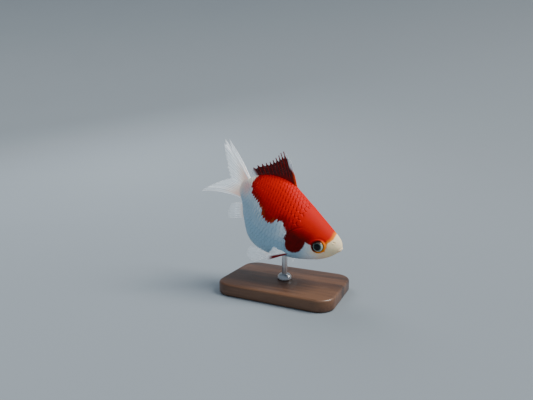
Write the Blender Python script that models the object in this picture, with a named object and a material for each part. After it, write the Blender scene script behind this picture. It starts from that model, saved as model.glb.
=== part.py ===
"""A life-size red and white fancy goldfish, short and deep bodied with a double tail, hovering nose down.

A plain display stand holds it: a flat base, a collar and one short rod up to the belly. The fish is
modelled level, in lengths of its own body, and the empty fish_pose tips it nose down over the base.

Fish axes, before it is tipped: +X to the snout, +Y to the fish's left, +Z to its back. Along the body,
"s" is 0 at the snout and 1 at the root of the tail, and heights are above the line between them.
"""

import math

import bmesh
import bpy
import numpy as np
from mathutils import Matrix, Vector

# ---------------------------------------------------------------- driving dimensions, metres and degrees
BODY_LENGTH = 0.058
NOSE_DOWN = 28.0
GAP = 0.0003
FIN_THICKNESS = 0.0006
RAY_THICKNESS = 0.0008
EYE_RADIUS = 0.0027

BASE_LENGTH = 0.060
BASE_WIDTH = 0.040
BASE_HEIGHT = 0.006
BASE_CORNER = 0.008
BASE_CORNER_STEPS = 8
ROD_RADIUS = 0.0014
COLLAR_RADIUS = 0.0036
COLLAR_HEIGHT = 0.0024
BELLY_CLEARANCE = 0.012

# ---------------------------------------------------------------- body outline, in body lengths
# Each curve runs through (s, value). The first two are heights, the third is half the width,
# and the last is the height at which a section is widest.
BACK = ((0.0, 0.048), (0.1, 0.092), (0.3, 0.160), (0.45, 0.210), (0.6, 0.252), (0.72, 0.251),
        (0.85, 0.210), (0.95, 0.145), (1.0, 0.102), (1.06, 0.100))
BELLY = ((0.0, -0.035), (0.1, -0.152), (0.25, -0.258), (0.4, -0.327), (0.5, -0.374), (0.62, -0.395),
         (0.75, -0.366), (0.87, -0.252), (0.96, -0.134), (1.0, -0.100), (1.06, -0.096))
HALF_WIDTH = ((0.0, 0.044), (0.1, 0.103), (0.2, 0.140), (0.35, 0.184), (0.5, 0.205), (0.62, 0.200),
              (0.75, 0.165), (0.87, 0.110), (0.96, 0.064), (1.06, 0.026))
WIDEST_AT = ((0.0, 0.004), (0.15, -0.035), (0.4, -0.085), (0.6, -0.100), (0.8, -0.065), (1.0, 0.0),
             (1.06, 0.0))
TAIL_END = 1.06
NOSE_ROUNDING = 0.055
TAIL_ROUNDING = 0.045
BACK_FULLNESS = 1.85
BELLY_FULLNESS = 2.15
BODY_RINGS = 29
BODY_SEGMENTS = 28

# ---------------------------------------------------------------- where the body is parted, in body lengths
EYE_AT = (0.163, -0.039)
EYE_SINK = 0.0009
EYE_FLATNESS = 0.78
NOSTRIL_AT = (0.075, 0.042)
NOSTRIL_RADIUS = 0.0007
GILL_CENTRE = (0.285, -0.100)
GILL_RADII = (0.130, 0.142)
CHEEK_CENTRE = (0.120, -0.060)
CHEEK_RADIUS = 0.125
NAPE_S = 0.385
THROAT_S = 0.320
TAIL_BASE_S = 0.925
TAIL_BASE_BOW = 0.03
GILL_RISE = 0.0003
GILL_DEPTH = 0.0012
GILL_INNER_Y = 0.05
MOUTH_LINE = ((-0.05, 0.004), (0.050, -0.040), (0.115, -0.105), (0.150, -0.320), (-0.05, -0.320))

CUTTER_REACH = 0.03
SIDES = (("left", 1), ("right", -1))


# ---------------------------------------------------------------- small helpers
def clear_scene():
    for obj in list(bpy.data.objects):
        bpy.data.objects.remove(obj)


def finish_material(name, colour, roughness, metallic=0.0):
    material = bpy.data.materials.new(name)
    material.use_nodes = True
    shader = material.node_tree.nodes["Principled BSDF"]
    shader.inputs["Base Color"].default_value = (*colour, 1.0)
    shader.inputs["Roughness"].default_value = roughness
    shader.inputs["Metallic"].default_value = metallic
    material.diffuse_color = (*colour, 1.0)
    return material


def object_from(name, mesh, material=None, parent=None, helper=False):
    """An object in the scene. A helper is a cutter, which is not part of the model."""
    obj = bpy.data.objects.new(name, mesh)
    bpy.context.scene.collection.objects.link(obj)
    obj.parent = parent
    if material:
        mesh.materials.append(material)
    if helper:
        obj.hide_render = True
        obj.display_type = "WIRE"
    return obj


def mesh_from_faces(name, points, faces, smooth=False):
    mesh = bpy.data.meshes.new(name)
    mesh.from_pydata([tuple(p) for p in points], [], faces)
    work = bmesh.new()
    work.from_mesh(mesh)
    bmesh.ops.recalc_face_normals(work, faces=work.faces)
    work.to_mesh(mesh)
    work.free()
    if smooth:
        mesh.shade_smooth()
    return mesh


def boolean(obj, cutter, operation="DIFFERENCE"):
    modifier = obj.modifiers.new(f"{operation.lower()}_{cutter.name}", "BOOLEAN")
    modifier.operation = operation
    modifier.object = cutter
    modifier.solver = "EXACT"


def smooth_curve(knots, s):
    """The height at s of a smooth curve through the knots, whose slopes come from their neighbours."""
    xs = [k[0] for k in knots]
    i = min(max(int(np.searchsorted(xs, s, side="right")) - 1, 0), len(knots) - 2)

    def slope(j):
        a, b = max(j - 1, 0), min(j + 1, len(knots) - 1)
        return (knots[b][1] - knots[a][1]) / (knots[b][0] - knots[a][0])

    (x0, y0), (x1, y1) = knots[i], knots[i + 1]
    width = x1 - x0
    u = min(max((s - x0) / width, 0.0), 1.0)
    return (
        (2 * u**3 - 3 * u**2 + 1) * y0
        + (u**3 - 2 * u**2 + u) * width * slope(i)
        + (3 * u**2 - 2 * u**3) * y1
        + (u**3 - u**2) * width * slope(i + 1)
    )


# ---------------------------------------------------------------- the body as a surface
def along(s):
    """The X of a place along the body, with the middle of the body at X = 0."""
    return (0.5 - s) * BODY_LENGTH


def end_rounding(s):
    """1 along the body, falling to 0 in a quarter ellipse at the snout and at the root of the tail."""
    nose = min(max(s / NOSE_ROUNDING, 0.0), 1.0)
    tail = min(max((TAIL_END - s) / TAIL_ROUNDING, 0.0), 1.0)
    return math.sqrt(1 - (1 - nose) ** 2) * math.sqrt(1 - (1 - tail) ** 2)


def body_section(s, grow=0.0):
    """Top, bottom, half width and widest height of the section at s, in metres, grown all round."""
    round_off = end_rounding(s)
    level = smooth_curve(WIDEST_AT, s) * BODY_LENGTH
    top = level + (smooth_curve(BACK, s) * BODY_LENGTH - level) * round_off + grow
    bottom = level + (smooth_curve(BELLY, s) * BODY_LENGTH - level) * round_off - grow
    half_width = smooth_curve(HALF_WIDTH, s) * BODY_LENGTH * round_off + grow
    return top, bottom, half_width, level


def body_point(s, turn, grow=0.0):
    """A point on the body. turn is 0 on the back, 90 on the fish's left and 180 on the belly."""
    top, bottom, half_width, level = body_section(s, grow)
    side, up = math.sin(math.radians(turn)), math.cos(math.radians(turn))
    power = 2 / (BACK_FULLNESS if up > 0 else BELLY_FULLNESS)
    y = half_width * math.copysign(abs(side) ** power, side)
    z = level + (top - level if up > 0 else level - bottom) * math.copysign(abs(up) ** power, up)
    return Vector((along(s), y, z))


def body_mesh(name, grow=0.0, rings=BODY_RINGS, segments=BODY_SEGMENTS):
    """The whole body as one closed surface, with its rings closer together towards both ends.

    A body that is shrunk all round starts and ends that much further in."""
    inset = max(-grow, 0) / BODY_LENGTH
    grow_ends = max(grow, 0)
    first, last_s = inset, TAIL_END - inset
    points, faces = [], []
    for ring in range(1, rings):
        s = first + (last_s - first) * (1 - math.cos(math.pi * ring / rings)) / 2
        for segment in range(segments):
            points.append(body_point(s, 360 * segment / segments, grow))
    nose = len(points)
    points.append(Vector((along(first) + grow_ends, 0, smooth_curve(WIDEST_AT, first) * BODY_LENGTH)))
    tail = len(points)
    points.append(Vector((along(last_s) - grow_ends, 0, smooth_curve(WIDEST_AT, last_s) * BODY_LENGTH)))
    last = (rings - 2) * segments
    for segment in range(segments):
        after = (segment + 1) % segments
        faces.append((nose, segment, after))
        faces.append((tail, last + after, last + segment))
        for start in range(0, last, segments):
            ahead = start + segments
            faces.append((start + segment, ahead + segment, ahead + after, start + after))
    return mesh_from_faces(name, points, faces, smooth=True)


# ---------------------------------------------------------------- cutters
def side_prism(name, outline, parent, near=-CUTTER_REACH, far=CUTTER_REACH):
    """A prism from an outline of (s, height) in body lengths, from one side of the fish to the other."""
    count = len(outline)
    points = [
        (along(s), y, height * BODY_LENGTH) for y in (near, far) for s, height in outline
    ]
    faces = [tuple(range(count)), tuple(range(count, 2 * count))]
    faces += [(i, (i + 1) % count, count + (i + 1) % count, count + i) for i in range(count)]
    return object_from(name, mesh_from_faces(name, points, faces), parent=parent, helper=True)


def ellipse(centre, radii, steps=36):
    turns = [2 * math.pi * i / steps for i in range(steps)]
    return [(centre[0] + radii[0] * math.cos(a), centre[1] + radii[1] * math.sin(a)) for a in turns]


def head_edge(height):
    """Where the head ends at a height: a line from nape to throat, and round the gill cover."""
    up = (height - BELLY[3][1]) / (BACK[3][1] - BELLY[3][1])
    line = THROAT_S + (NAPE_S - THROAT_S) * up
    rise = (height - GILL_CENTRE[1]) / GILL_RADII[1]
    if abs(rise) >= 1:
        return line
    return max(line, GILL_CENTRE[0] + GILL_RADII[0] * math.sqrt(1 - rise**2))


def head_outline(shift):
    """The head's side of its cut, moved towards the tail by shift body lengths."""
    heights = np.linspace(0.5, -0.6, 56)
    return [(-0.2, 0.5)] + [(head_edge(h) + shift, h) for h in heights] + [(-0.2, -0.6)]


def tail_outline(shift):
    """The tail base's side of its cut, a shallow arc that bows towards the tail."""
    heights = np.linspace(-0.5, 0.5, 21)
    arc = [(TAIL_BASE_S + TAIL_BASE_BOW * (1 - (2 * h) ** 2) + shift, h) for h in heights]
    return [(1.3, 0.5), (1.3, -0.5)] + arc


def jaw_outline(shift):
    """The lower jaw's side of its cut. Only the edges that face the head are moved."""
    return [(s + shift * (s > 0), h + shift * (i < 3)) for i, (s, h) in enumerate(MOUTH_LINE)]


def body_cutter(name, pose, grow):
    return object_from(name, body_mesh(name, grow), parent=pose, helper=True)


def gill_cutters(side, sign, pose, deeper):
    """The prism that a gill cover is cut with, and the slightly larger pocket that it lies in."""
    gap = GAP / BODY_LENGTH
    near, far = sign * GILL_INNER_Y * BODY_LENGTH, sign * CUTTER_REACH

    def prism(kind, centre, radii, step):
        return side_prism(f"cut_{kind}_{side}", ellipse(centre, radii), pose, near - sign * GAP * step, far)

    plate = prism("gill", GILL_CENTRE, GILL_RADII, 0)
    boolean(plate, prism("cheek", CHEEK_CENTRE, [CHEEK_RADIUS] * 2, 2))
    pocket = prism("pocket", GILL_CENTRE, [r + gap for r in GILL_RADII], 1)
    boolean(pocket, prism("cheek_small", CHEEK_CENTRE, [CHEEK_RADIUS - gap] * 2, 3))
    boolean(pocket, deeper)
    return plate, pocket


def make_cutters(pose):
    gap = GAP / BODY_LENGTH
    cutters = {
        "head_zone": side_prism("cut_head_zone", head_outline(0), pose),
        "head_zone_wide": side_prism("cut_head_zone_wide", head_outline(gap), pose),
        "tail_zone": side_prism("cut_tail_zone", tail_outline(0), pose),
        "tail_zone_wide": side_prism("cut_tail_zone_wide", tail_outline(-gap), pose),
        "jaw_zone": side_prism("cut_jaw_zone", jaw_outline(0), pose),
        "jaw_zone_wide": side_prism("cut_jaw_zone_wide", jaw_outline(gap), pose),
        "core": body_cutter("cut_core", pose, -GILL_DEPTH),
        "grown": body_cutter("cut_grown", pose, GAP),
    }
    deeper = body_cutter("cut_core_deeper", pose, -GILL_DEPTH - GAP)
    for side, sign in SIDES:
        cutters[f"gill_{side}"], cutters[f"pocket_{side}"] = gill_cutters(side, sign, pose, deeper)
    return cutters


# ---------------------------------------------------------------- body pieces
def on_side(place, sign, sink=0.0):
    """The point on one side of the body at a place (s, height), sunk towards the middle."""
    s, height = place[0], place[1] * BODY_LENGTH
    top, bottom, half_width, level = body_section(s)
    rise = (height - level) / (top - level if height > level else level - bottom)
    power = BACK_FULLNESS if height > level else BELLY_FULLNESS
    reach = half_width * (1 - abs(rise) ** power) ** (1 / power)
    return Vector((along(s), sign * (reach - sink), height))


def eyeball_mesh(name, radius):
    """A ball that is flatter across the fish, with its poles at the sides."""
    around, down = (10, 6) if radius < EYE_RADIUS / 2 else (18, 10)
    work = bmesh.new()
    bmesh.ops.create_uvsphere(work, u_segments=around, v_segments=down, radius=radius)
    bmesh.ops.rotate(work, matrix=Matrix.Rotation(math.pi / 2, 3, "X"), verts=work.verts)
    bmesh.ops.scale(work, vec=(1, EYE_FLATNESS, 1), verts=work.verts)
    mesh = bpy.data.meshes.new(name)
    work.to_mesh(mesh)
    work.free()
    mesh.shade_smooth()
    return mesh


def make_eyes(pose, material):
    """The two eyeballs, and the sockets and nostrils that are hollowed out of the head."""
    hollows = []
    for side, sign in SIDES:
        eye = object_from(f"eye_{side}", eyeball_mesh(f"eye_{side}", EYE_RADIUS), material, pose)
        socket_mesh = eyeball_mesh(f"cut_socket_{side}", EYE_RADIUS + GAP)
        socket = object_from(f"cut_socket_{side}", socket_mesh, parent=pose, helper=True)
        for obj in (eye, socket):
            obj.location = on_side(EYE_AT, sign, EYE_SINK)
        nostril_mesh = eyeball_mesh(f"cut_nostril_{side}", NOSTRIL_RADIUS)
        nostril = object_from(f"cut_nostril_{side}", nostril_mesh, parent=pose, helper=True)
        nostril.location = on_side(NOSTRIL_AT, sign)
        hollows += [socket, nostril]
    return hollows


def make_body(pose, cutters, hollows, red, white):
    def piece(name, material, grow=0.0):
        return object_from(name, body_mesh(name, grow), material, pose)

    head = piece("head", red)
    boolean(head, cutters["head_zone"], "INTERSECT")
    boolean(head, cutters["jaw_zone_wide"])
    for hollow in hollows:
        boolean(head, hollow)

    jaw = piece("lower_jaw", white)
    boolean(jaw, cutters["jaw_zone"], "INTERSECT")

    trunk = piece("trunk", red)
    boolean(trunk, cutters["head_zone_wide"])
    boolean(trunk, cutters["tail_zone_wide"])

    tail_base = piece("tail_base", white)
    boolean(tail_base, cutters["tail_zone"], "INTERSECT")

    for side in ("left", "right"):
        boolean(head, cutters[f"pocket_{side}"])
        boolean(trunk, cutters[f"pocket_{side}"])
        cover = piece(f"gill_cover_{side}", red, GILL_RISE)
        boolean(cover, cutters[f"gill_{side}"], "INTERSECT")
        boolean(cover, cutters["core"])


# ---------------------------------------------------------------- fins
def fin_mesh(name, ray_point, rays, rows, notch):
    """A closed sheet over a fan of rays. ray_point(t, r) is on ray t, at its root for r = 0 and tip for 1.

    The odd columns lie between the rays, where the edge is notched and the fin is thinner."""
    columns = 2 * rays - 1
    grid = np.empty((columns, rows + 1, 3))
    for i in range(columns):
        reach = 1 - notch * (i % 2)
        for k in range(rows + 1):
            grid[i, k] = ray_point(i / (columns - 1), reach * k / rows)
    across = np.gradient(grid, axis=0)
    down = np.gradient(grid, axis=1)
    normal = np.cross(across, down)
    normal /= np.linalg.norm(normal, axis=2, keepdims=True)
    thickness = np.where(np.arange(columns) % 2, FIN_THICKNESS, RAY_THICKNESS)[:, None, None] / 2
    faces_of_sheet = (grid + normal * thickness, grid - normal * thickness)
    points = np.concatenate([face.reshape(-1, 3) for face in faces_of_sheet])
    far, faces = columns * (rows + 1), []

    def at(i, k):
        return i * (rows + 1) + k

    for i in range(columns - 1):
        for k in range(rows):
            loop = (at(i, k), at(i + 1, k), at(i + 1, k + 1), at(i, k + 1))
            faces.append(loop)
            faces.append(tuple(far + v for v in reversed(loop)))
    rim = [at(i, 0) for i in range(columns)]
    rim += [at(columns - 1, k) for k in range(1, rows + 1)]
    rim += [at(i, rows) for i in reversed(range(columns - 1))]
    rim += [at(0, k) for k in reversed(range(1, rows))]
    for a, b in zip(rim, rim[1:] + rim[:1]):
        faces.append((b, a, far + a, far + b))
    return mesh_from_faces(name, points, faces, smooth=True)


def fan(root, heading, rise, side, length, angle, droop=0.0, splay=0.0, ripple=0.0, waves=2.0):
    """A fin's ray_point. Ray t leaves root(t) at angle(t) degrees from heading towards rise.

    It bends back by droop and leans towards side by splay. The fin's edge waves by ripple, waves times."""
    heading, rise, side = (np.array(v, float) for v in (heading, rise, side))

    def at(value, t):
        return value(t) if callable(value) else value

    def ray_point(t, r):
        turn = math.radians(angle(t) - at(droop, t) * r / 2)
        flat = heading * math.cos(turn) + rise * math.sin(turn)
        lean = math.radians(at(splay, t))
        direction = flat / np.linalg.norm(flat) * math.cos(lean) + side * math.sin(lean)
        wave = ripple * r**1.5 * math.sin(2 * math.pi * waves * t)
        return np.array(root(t)) + BODY_LENGTH * (direction * length(t) * r + side * wave)

    return ray_point


def make_fin(name, ray_point, material, pose, grown, rays, rows=5, notch=0.06):
    fin = object_from(name, fin_mesh(name, ray_point, rays, rows, notch), material, pose)
    boolean(fin, grown)
    return fin


# ---------------------------------------------------------------- dorsal fin
DORSAL_ROOT_S = (0.556, 0.955)
DORSAL_SINK = 0.020
DORSAL_LENGTHS = ((0.0, 0.265), (0.07, 0.300), (0.16, 0.305), (0.4, 0.210), (0.6, 0.150), (0.83, 0.118),
                  (1.0, 0.090))
DORSAL_ANGLES = ((0.0, 51), (0.14, 49), (0.4, 49), (0.6, 44), (0.83, 38), (1.0, 28))


def dorsal_rays():
    def root(t):
        s = DORSAL_ROOT_S[0] + (DORSAL_ROOT_S[1] - DORSAL_ROOT_S[0]) * t
        return (along(s), 0, (smooth_curve(BACK, s) - DORSAL_SINK) * BODY_LENGTH)

    return fan(
        root, (-1, 0, 0), (0, 0, 1), (0, 1, 0),
        length=lambda t: smooth_curve(DORSAL_LENGTHS, t),
        angle=lambda t: smooth_curve(DORSAL_ANGLES, t), droop=6, ripple=0.010,
    )


# ---------------------------------------------------------------- tail fins
# The tail is double. Each half is forked, and has an upper and a lower lobe. A "share" is 0 at the
# tail's top edge and 1 at its bottom edge.
TAIL_ROOT_S = 1.0
TAIL_ROOT_HEIGHTS = (0.090, -0.100)
TAIL_HALF_GAP = 0.0007
TAIL_FORK = 0.150
TAIL_FORK_AT = 0.47
TAIL_FORK_GAP = 0.012
TAIL_TIPS = (0.410, 0.365)


def half_tail_rays(sign, first, last):
    """The rays from one share to another, of the half on one side."""

    def share(t):
        return first + (last - first) * t

    def root(t):
        h = share(t)
        height = TAIL_ROOT_HEIGHTS[0] + (TAIL_ROOT_HEIGHTS[1] - TAIL_ROOT_HEIGHTS[0]) * h
        return (along(TAIL_ROOT_S), sign * (TAIL_HALF_GAP + 0.004 * BODY_LENGTH * h), height * BODY_LENGTH)

    def length(t):
        upper = share(t) < TAIL_FORK_AT
        reach = TAIL_FORK_AT if upper else 1 - TAIL_FORK_AT
        tip = TAIL_TIPS[0] if upper else TAIL_TIPS[1]
        return TAIL_FORK + (tip - TAIL_FORK) * (abs(share(t) - TAIL_FORK_AT) / reach) ** 1.15

    return fan(
        root, (-1, 0, 0), (0, 0, 1), (0, sign, 0), length,
        angle=lambda t: 35 - 41 * share(t), droop=lambda t: 12 + 16 * share(t),
        splay=lambda t: 4 + 11 * share(t), ripple=0.008, waves=1.5,
    )


# ---------------------------------------------------------------- paired fins
PECTORAL_LOWERED = {"right": 0, "left": 50}
FIN_SINK = 0.0012


def side_root(sign, s_pair, turn_pair, sink):
    """A fin root on the body's side or belly, running between two places and sunk into the flesh."""

    def root(t):
        s = s_pair[0] + (s_pair[1] - s_pair[0]) * t
        turn = turn_pair[0] + (turn_pair[1] - turn_pair[0]) * t
        return body_point(s, sign * turn, -sink)

    return root


def pectoral_rays(sign, lowered):
    return fan(
        side_root(sign, (0.328, 0.356), (134, 124), FIN_SINK),
        heading=(-0.92, sign * 0.30, -0.25), rise=(-0.10, sign * 0.35, -0.93), side=(-0.3, sign * 0.9, 0.3),
        length=lambda t: 0.225 - 0.10 * t,
        angle=lambda t: 46 - 42 * t + lowered, droop=8, ripple=0.006, waves=1,
    )


def pelvic_rays(sign):
    return fan(
        side_root(sign, (0.455, 0.500), (165, 158), FIN_SINK),
        heading=(-1, sign * 0.2, 0), rise=(0, sign * 0.35, -0.94), side=(0, sign * 0.94, 0.35),
        length=lambda t: 0.215 + 0.10 * t - 0.13 * t**2,
        angle=lambda t: 58 - 38 * t, droop=8, ripple=0.006, waves=1,
    )


def anal_rays(sign):
    return fan(
        side_root(sign, (0.870, 0.940), (172, 166), FIN_SINK),
        heading=(-1, 0, 0), rise=(0, 0, -1), side=(0, sign, 0),
        length=lambda t: 0.180 - 0.03 * t,
        angle=lambda t: 37 - 6 * t, droop=6, splay=9, ripple=0.004, waves=1,
    )


def make_fins(pose, grown, red, clear):
    make_fin("dorsal_fin", dorsal_rays(), red, pose, grown, rays=14, rows=5, notch=0.15)
    for side, sign in SIDES:
        upper = half_tail_rays(sign, 0.0, TAIL_FORK_AT - TAIL_FORK_GAP)
        lower = half_tail_rays(sign, TAIL_FORK_AT + TAIL_FORK_GAP, 1.0)
        make_fin(f"tail_fin_{side}_upper", upper, clear, pose, grown, rays=8, notch=0.05)
        make_fin(f"tail_fin_{side}_lower", lower, clear, pose, grown, rays=8, notch=0.05)
        pectoral = pectoral_rays(sign, PECTORAL_LOWERED[side])
        make_fin(f"pectoral_fin_{side}", pectoral, clear, pose, grown, rays=9, rows=4)
        make_fin(f"pelvic_fin_{side}", pelvic_rays(sign), clear, pose, grown, rays=7, rows=4)
        make_fin(f"anal_fin_{side}", anal_rays(sign), clear, pose, grown, rays=6, rows=4)


# ---------------------------------------------------------------- display stand
def rounded_plate(name):
    """The base's plan, a rectangle with round corners, raised to its height."""
    work = bmesh.new()
    half_x, half_y = BASE_LENGTH / 2 - BASE_CORNER, BASE_WIDTH / 2 - BASE_CORNER
    ring = []
    for corner, (cx, cy) in enumerate(((1, 1), (-1, 1), (-1, -1), (1, -1))):
        for i in range(BASE_CORNER_STEPS + 1):
            a = math.radians(90 * (corner + i / BASE_CORNER_STEPS))
            x = cx * half_x + BASE_CORNER * math.cos(a)
            y = cy * half_y + BASE_CORNER * math.sin(a)
            ring.append(work.verts.new((x, y, 0)))
    bottom = work.faces.new(ring)
    top = bmesh.ops.extrude_face_region(work, geom=[bottom])
    lifted = [v for v in top["geom"] if isinstance(v, bmesh.types.BMVert)]
    bmesh.ops.translate(work, vec=(0, 0, BASE_HEIGHT), verts=lifted)
    bmesh.ops.recalc_face_normals(work, faces=work.faces)
    mesh = bpy.data.meshes.new(name)
    work.to_mesh(mesh)
    work.free()
    return mesh


def turned(name, profile, steps=24):
    """A closed turned piece from a profile of (radius, height) that starts and ends on the axis."""
    work = bmesh.new()
    verts = [work.verts.new((r, 0, z)) for r, z in profile]
    edges = [work.edges.new(pair) for pair in zip(verts, verts[1:])]
    bmesh.ops.spin(work, geom=verts + edges, cent=(0, 0, 0), axis=(0, 0, 1), angle=2 * math.pi, steps=steps)
    bmesh.ops.remove_doubles(work, verts=work.verts, dist=1e-6)
    bmesh.ops.recalc_face_normals(work, faces=work.faces)
    mesh = bpy.data.meshes.new(name)
    work.to_mesh(mesh)
    work.free()
    mesh.shade_smooth()
    mesh.set_sharp_from_angle(angle=math.radians(35))
    return mesh


def make_stand(grown, base_material, metal, rod_top):
    base = object_from("stand_base", rounded_plate("stand_base"), base_material)
    bevel = base.modifiers.new("soft_edge", "BEVEL")
    bevel.width = 0.0009
    bevel.segments = 2
    bevel.limit_method = "ANGLE"
    bevel.angle_limit = math.radians(50)

    bore = ROD_RADIUS + GAP
    low = BASE_HEIGHT + GAP
    collar_profile = [(bore, low), (COLLAR_RADIUS, low), (COLLAR_RADIUS, low + COLLAR_HEIGHT * 0.6),
                      (COLLAR_RADIUS * 0.72, low + COLLAR_HEIGHT), (bore, low + COLLAR_HEIGHT), (bore, low)]
    object_from("stand_collar", turned("stand_collar", collar_profile), metal)

    rod_profile = [(0, low), (ROD_RADIUS, low), (ROD_RADIUS, rod_top), (0, rod_top)]
    rod = object_from("stand_rod", turned("stand_rod", rod_profile), metal)
    boolean(rod, grown)


# ---------------------------------------------------------------- the whole model
def lowest_point(pitch):
    """The height of the tipped body's lowest point."""
    stations = np.linspace(0.02, 1, 60)
    return min((pitch @ body_point(s, turn)).z for s in stations for turn in range(0, 360, 10))


def main():
    clear_scene()
    red = finish_material("red_skin", (0.80, 0.035, 0.012), 0.35)
    white = finish_material("white_skin", (0.86, 0.84, 0.78), 0.35)
    dark_red = finish_material("red_fin", (0.30, 0.02, 0.015), 0.45)
    clear = finish_material("clear_fin", (0.82, 0.84, 0.84), 0.40)
    eye = finish_material("eye", (0.05, 0.07, 0.06), 0.08)
    base_material = finish_material("stand_base", (0.16, 0.07, 0.03), 0.45)
    metal = finish_material("stand_metal", (0.62, 0.62, 0.64), 0.30, 1.0)

    pitch = Matrix.Rotation(math.radians(NOSE_DOWN), 4, "Y")
    height = BASE_HEIGHT + BELLY_CLEARANCE - lowest_point(pitch)
    pose = bpy.data.objects.new("fish_pose", None)
    bpy.context.scene.collection.objects.link(pose)
    pose.matrix_world = Matrix.Translation((0.06 * BODY_LENGTH, 0, height)) @ pitch

    cutters = make_cutters(pose)
    hollows = make_eyes(pose, eye)
    make_body(pose, cutters, hollows, red, white)
    make_fins(pose, cutters["grown"], dark_red, clear)
    make_stand(cutters["grown"], base_material, metal, rod_top=height)


main()
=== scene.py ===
# %% [markdown]
# # A red and white goldfish on a small stand
#
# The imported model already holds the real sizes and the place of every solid. This lesson gives it its
# looks: a skin, a coat of scales, glass-like eyes, fins with rays and thin webs, and a wooden stand.
# Everything is in metres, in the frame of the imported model. The fish is first shaped level, in lengths
# of its own body, and is then tipped nose down.

# %% Load the frame
import math

import bmesh
import bpy
import numpy as np
from mathutils import Matrix, Vector


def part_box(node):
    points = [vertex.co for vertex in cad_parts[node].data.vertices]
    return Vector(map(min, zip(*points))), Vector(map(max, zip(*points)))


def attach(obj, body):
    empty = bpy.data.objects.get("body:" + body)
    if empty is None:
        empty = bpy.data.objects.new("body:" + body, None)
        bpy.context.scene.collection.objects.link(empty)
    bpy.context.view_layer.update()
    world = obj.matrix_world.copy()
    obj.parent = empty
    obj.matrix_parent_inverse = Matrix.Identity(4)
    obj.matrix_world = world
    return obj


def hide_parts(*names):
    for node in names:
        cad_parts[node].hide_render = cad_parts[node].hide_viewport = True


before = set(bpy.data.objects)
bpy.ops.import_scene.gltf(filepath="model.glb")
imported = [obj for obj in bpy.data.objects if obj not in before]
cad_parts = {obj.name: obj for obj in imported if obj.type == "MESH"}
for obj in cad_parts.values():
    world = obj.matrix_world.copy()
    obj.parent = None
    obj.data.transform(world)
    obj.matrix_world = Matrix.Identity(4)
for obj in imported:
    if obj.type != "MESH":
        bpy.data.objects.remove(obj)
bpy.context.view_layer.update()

BODY = "root"
print("solids:", ", ".join(sorted(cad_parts)))

# %% [markdown]
# ## The body as a formula
#
# A fish's body is a row of rounded sections from snout to tail. It could be sculpted by hand, but a
# formula lets the skin, the scales and the fins all ask where the surface is. "s" runs from 0 at the
# snout to 1 at the root of the tail, and four smooth curves give each section's back, belly, half width
# and widest height. They are the same curves that the solids have, so the looks fit over them.

# %% The body's curves, in body lengths
BODY_LENGTH = 0.058
NOSE_DOWN = math.radians(28.0)
BACK = ((0.0, 0.048), (0.1, 0.092), (0.3, 0.160), (0.45, 0.210), (0.6, 0.252), (0.72, 0.251),
        (0.85, 0.210), (0.95, 0.145), (1.0, 0.102), (1.06, 0.100))
BELLY = ((0.0, -0.035), (0.1, -0.152), (0.25, -0.258), (0.4, -0.327), (0.5, -0.374), (0.62, -0.395),
         (0.75, -0.366), (0.87, -0.252), (0.96, -0.134), (1.0, -0.100), (1.06, -0.096))
HALF_WIDTH = ((0.0, 0.044), (0.1, 0.103), (0.2, 0.140), (0.35, 0.184), (0.5, 0.205), (0.62, 0.200),
              (0.75, 0.165), (0.87, 0.110), (0.96, 0.064), (1.06, 0.026))
WIDEST_AT = ((0.0, 0.004), (0.15, -0.035), (0.4, -0.085), (0.6, -0.100), (0.8, -0.065), (1.0, 0.0),
             (1.06, 0.0))
TAIL_END = 1.06
NOSE_ROUNDING = 0.055
TAIL_ROUNDING = 0.045
BACK_FULLNESS = 1.85
BELLY_FULLNESS = 2.15


def smooth_curve(knots, s):
    """Values at s of a smooth curve through the knots, whose slopes come from their neighbours."""
    x, y = np.array(knots, float).T
    slope = np.gradient(y)
    slope[1:-1] = (y[2:] - y[:-2]) / (x[2:] - x[:-2])
    slope[0], slope[-1] = (y[1] - y[0]) / (x[1] - x[0]), (y[-1] - y[-2]) / (x[-1] - x[-2])
    i = np.clip(np.searchsorted(x, s, side="right") - 1, 0, len(x) - 2)
    width = x[i + 1] - x[i]
    u = np.clip((s - x[i]) / width, 0, 1)
    return (
        (2 * u**3 - 3 * u**2 + 1) * y[i]
        + (u**3 - 2 * u**2 + u) * width * slope[i]
        + (3 * u**2 - 2 * u**3) * y[i + 1]
        + (u**3 - u**2) * width * slope[i + 1]
    )


def along(s):
    """The x of a place on the level fish, whose middle is at 0."""
    return (0.5 - s) * BODY_LENGTH


def end_rounding(s):
    """1 along the body, falling to 0 in a quarter ellipse at the snout and at the root of the tail."""
    nose = np.clip(s / NOSE_ROUNDING, 0, 1)
    tail = np.clip((TAIL_END - s) / TAIL_ROUNDING, 0, 1)
    return np.sqrt(1 - (1 - nose) ** 2) * np.sqrt(1 - (1 - tail) ** 2)


def body_point(s, turn, grow=0.0):
    """Points on the body. turn is in radians: 0 on the back, a quarter turn on the fish's left."""
    s, turn = np.broadcast_arrays(np.asarray(s, float), np.asarray(turn, float))
    level = smooth_curve(WIDEST_AT, s) * BODY_LENGTH
    round_off = end_rounding(s)
    top = (smooth_curve(BACK, s) * BODY_LENGTH - level) * round_off + grow
    bottom = (level - smooth_curve(BELLY, s) * BODY_LENGTH) * round_off + grow
    half_width = smooth_curve(HALF_WIDTH, s) * BODY_LENGTH * round_off + grow
    side, up = np.sin(turn), np.cos(turn)
    power = np.where(up > 0, 2 / BACK_FULLNESS, 2 / BELLY_FULLNESS)
    y = half_width * np.sign(side) * np.abs(side) ** power
    z = level + np.where(up > 0, top, bottom) * np.sign(up) * np.abs(up) ** power
    return np.stack([along(s), y, z], axis=-1)


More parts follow.
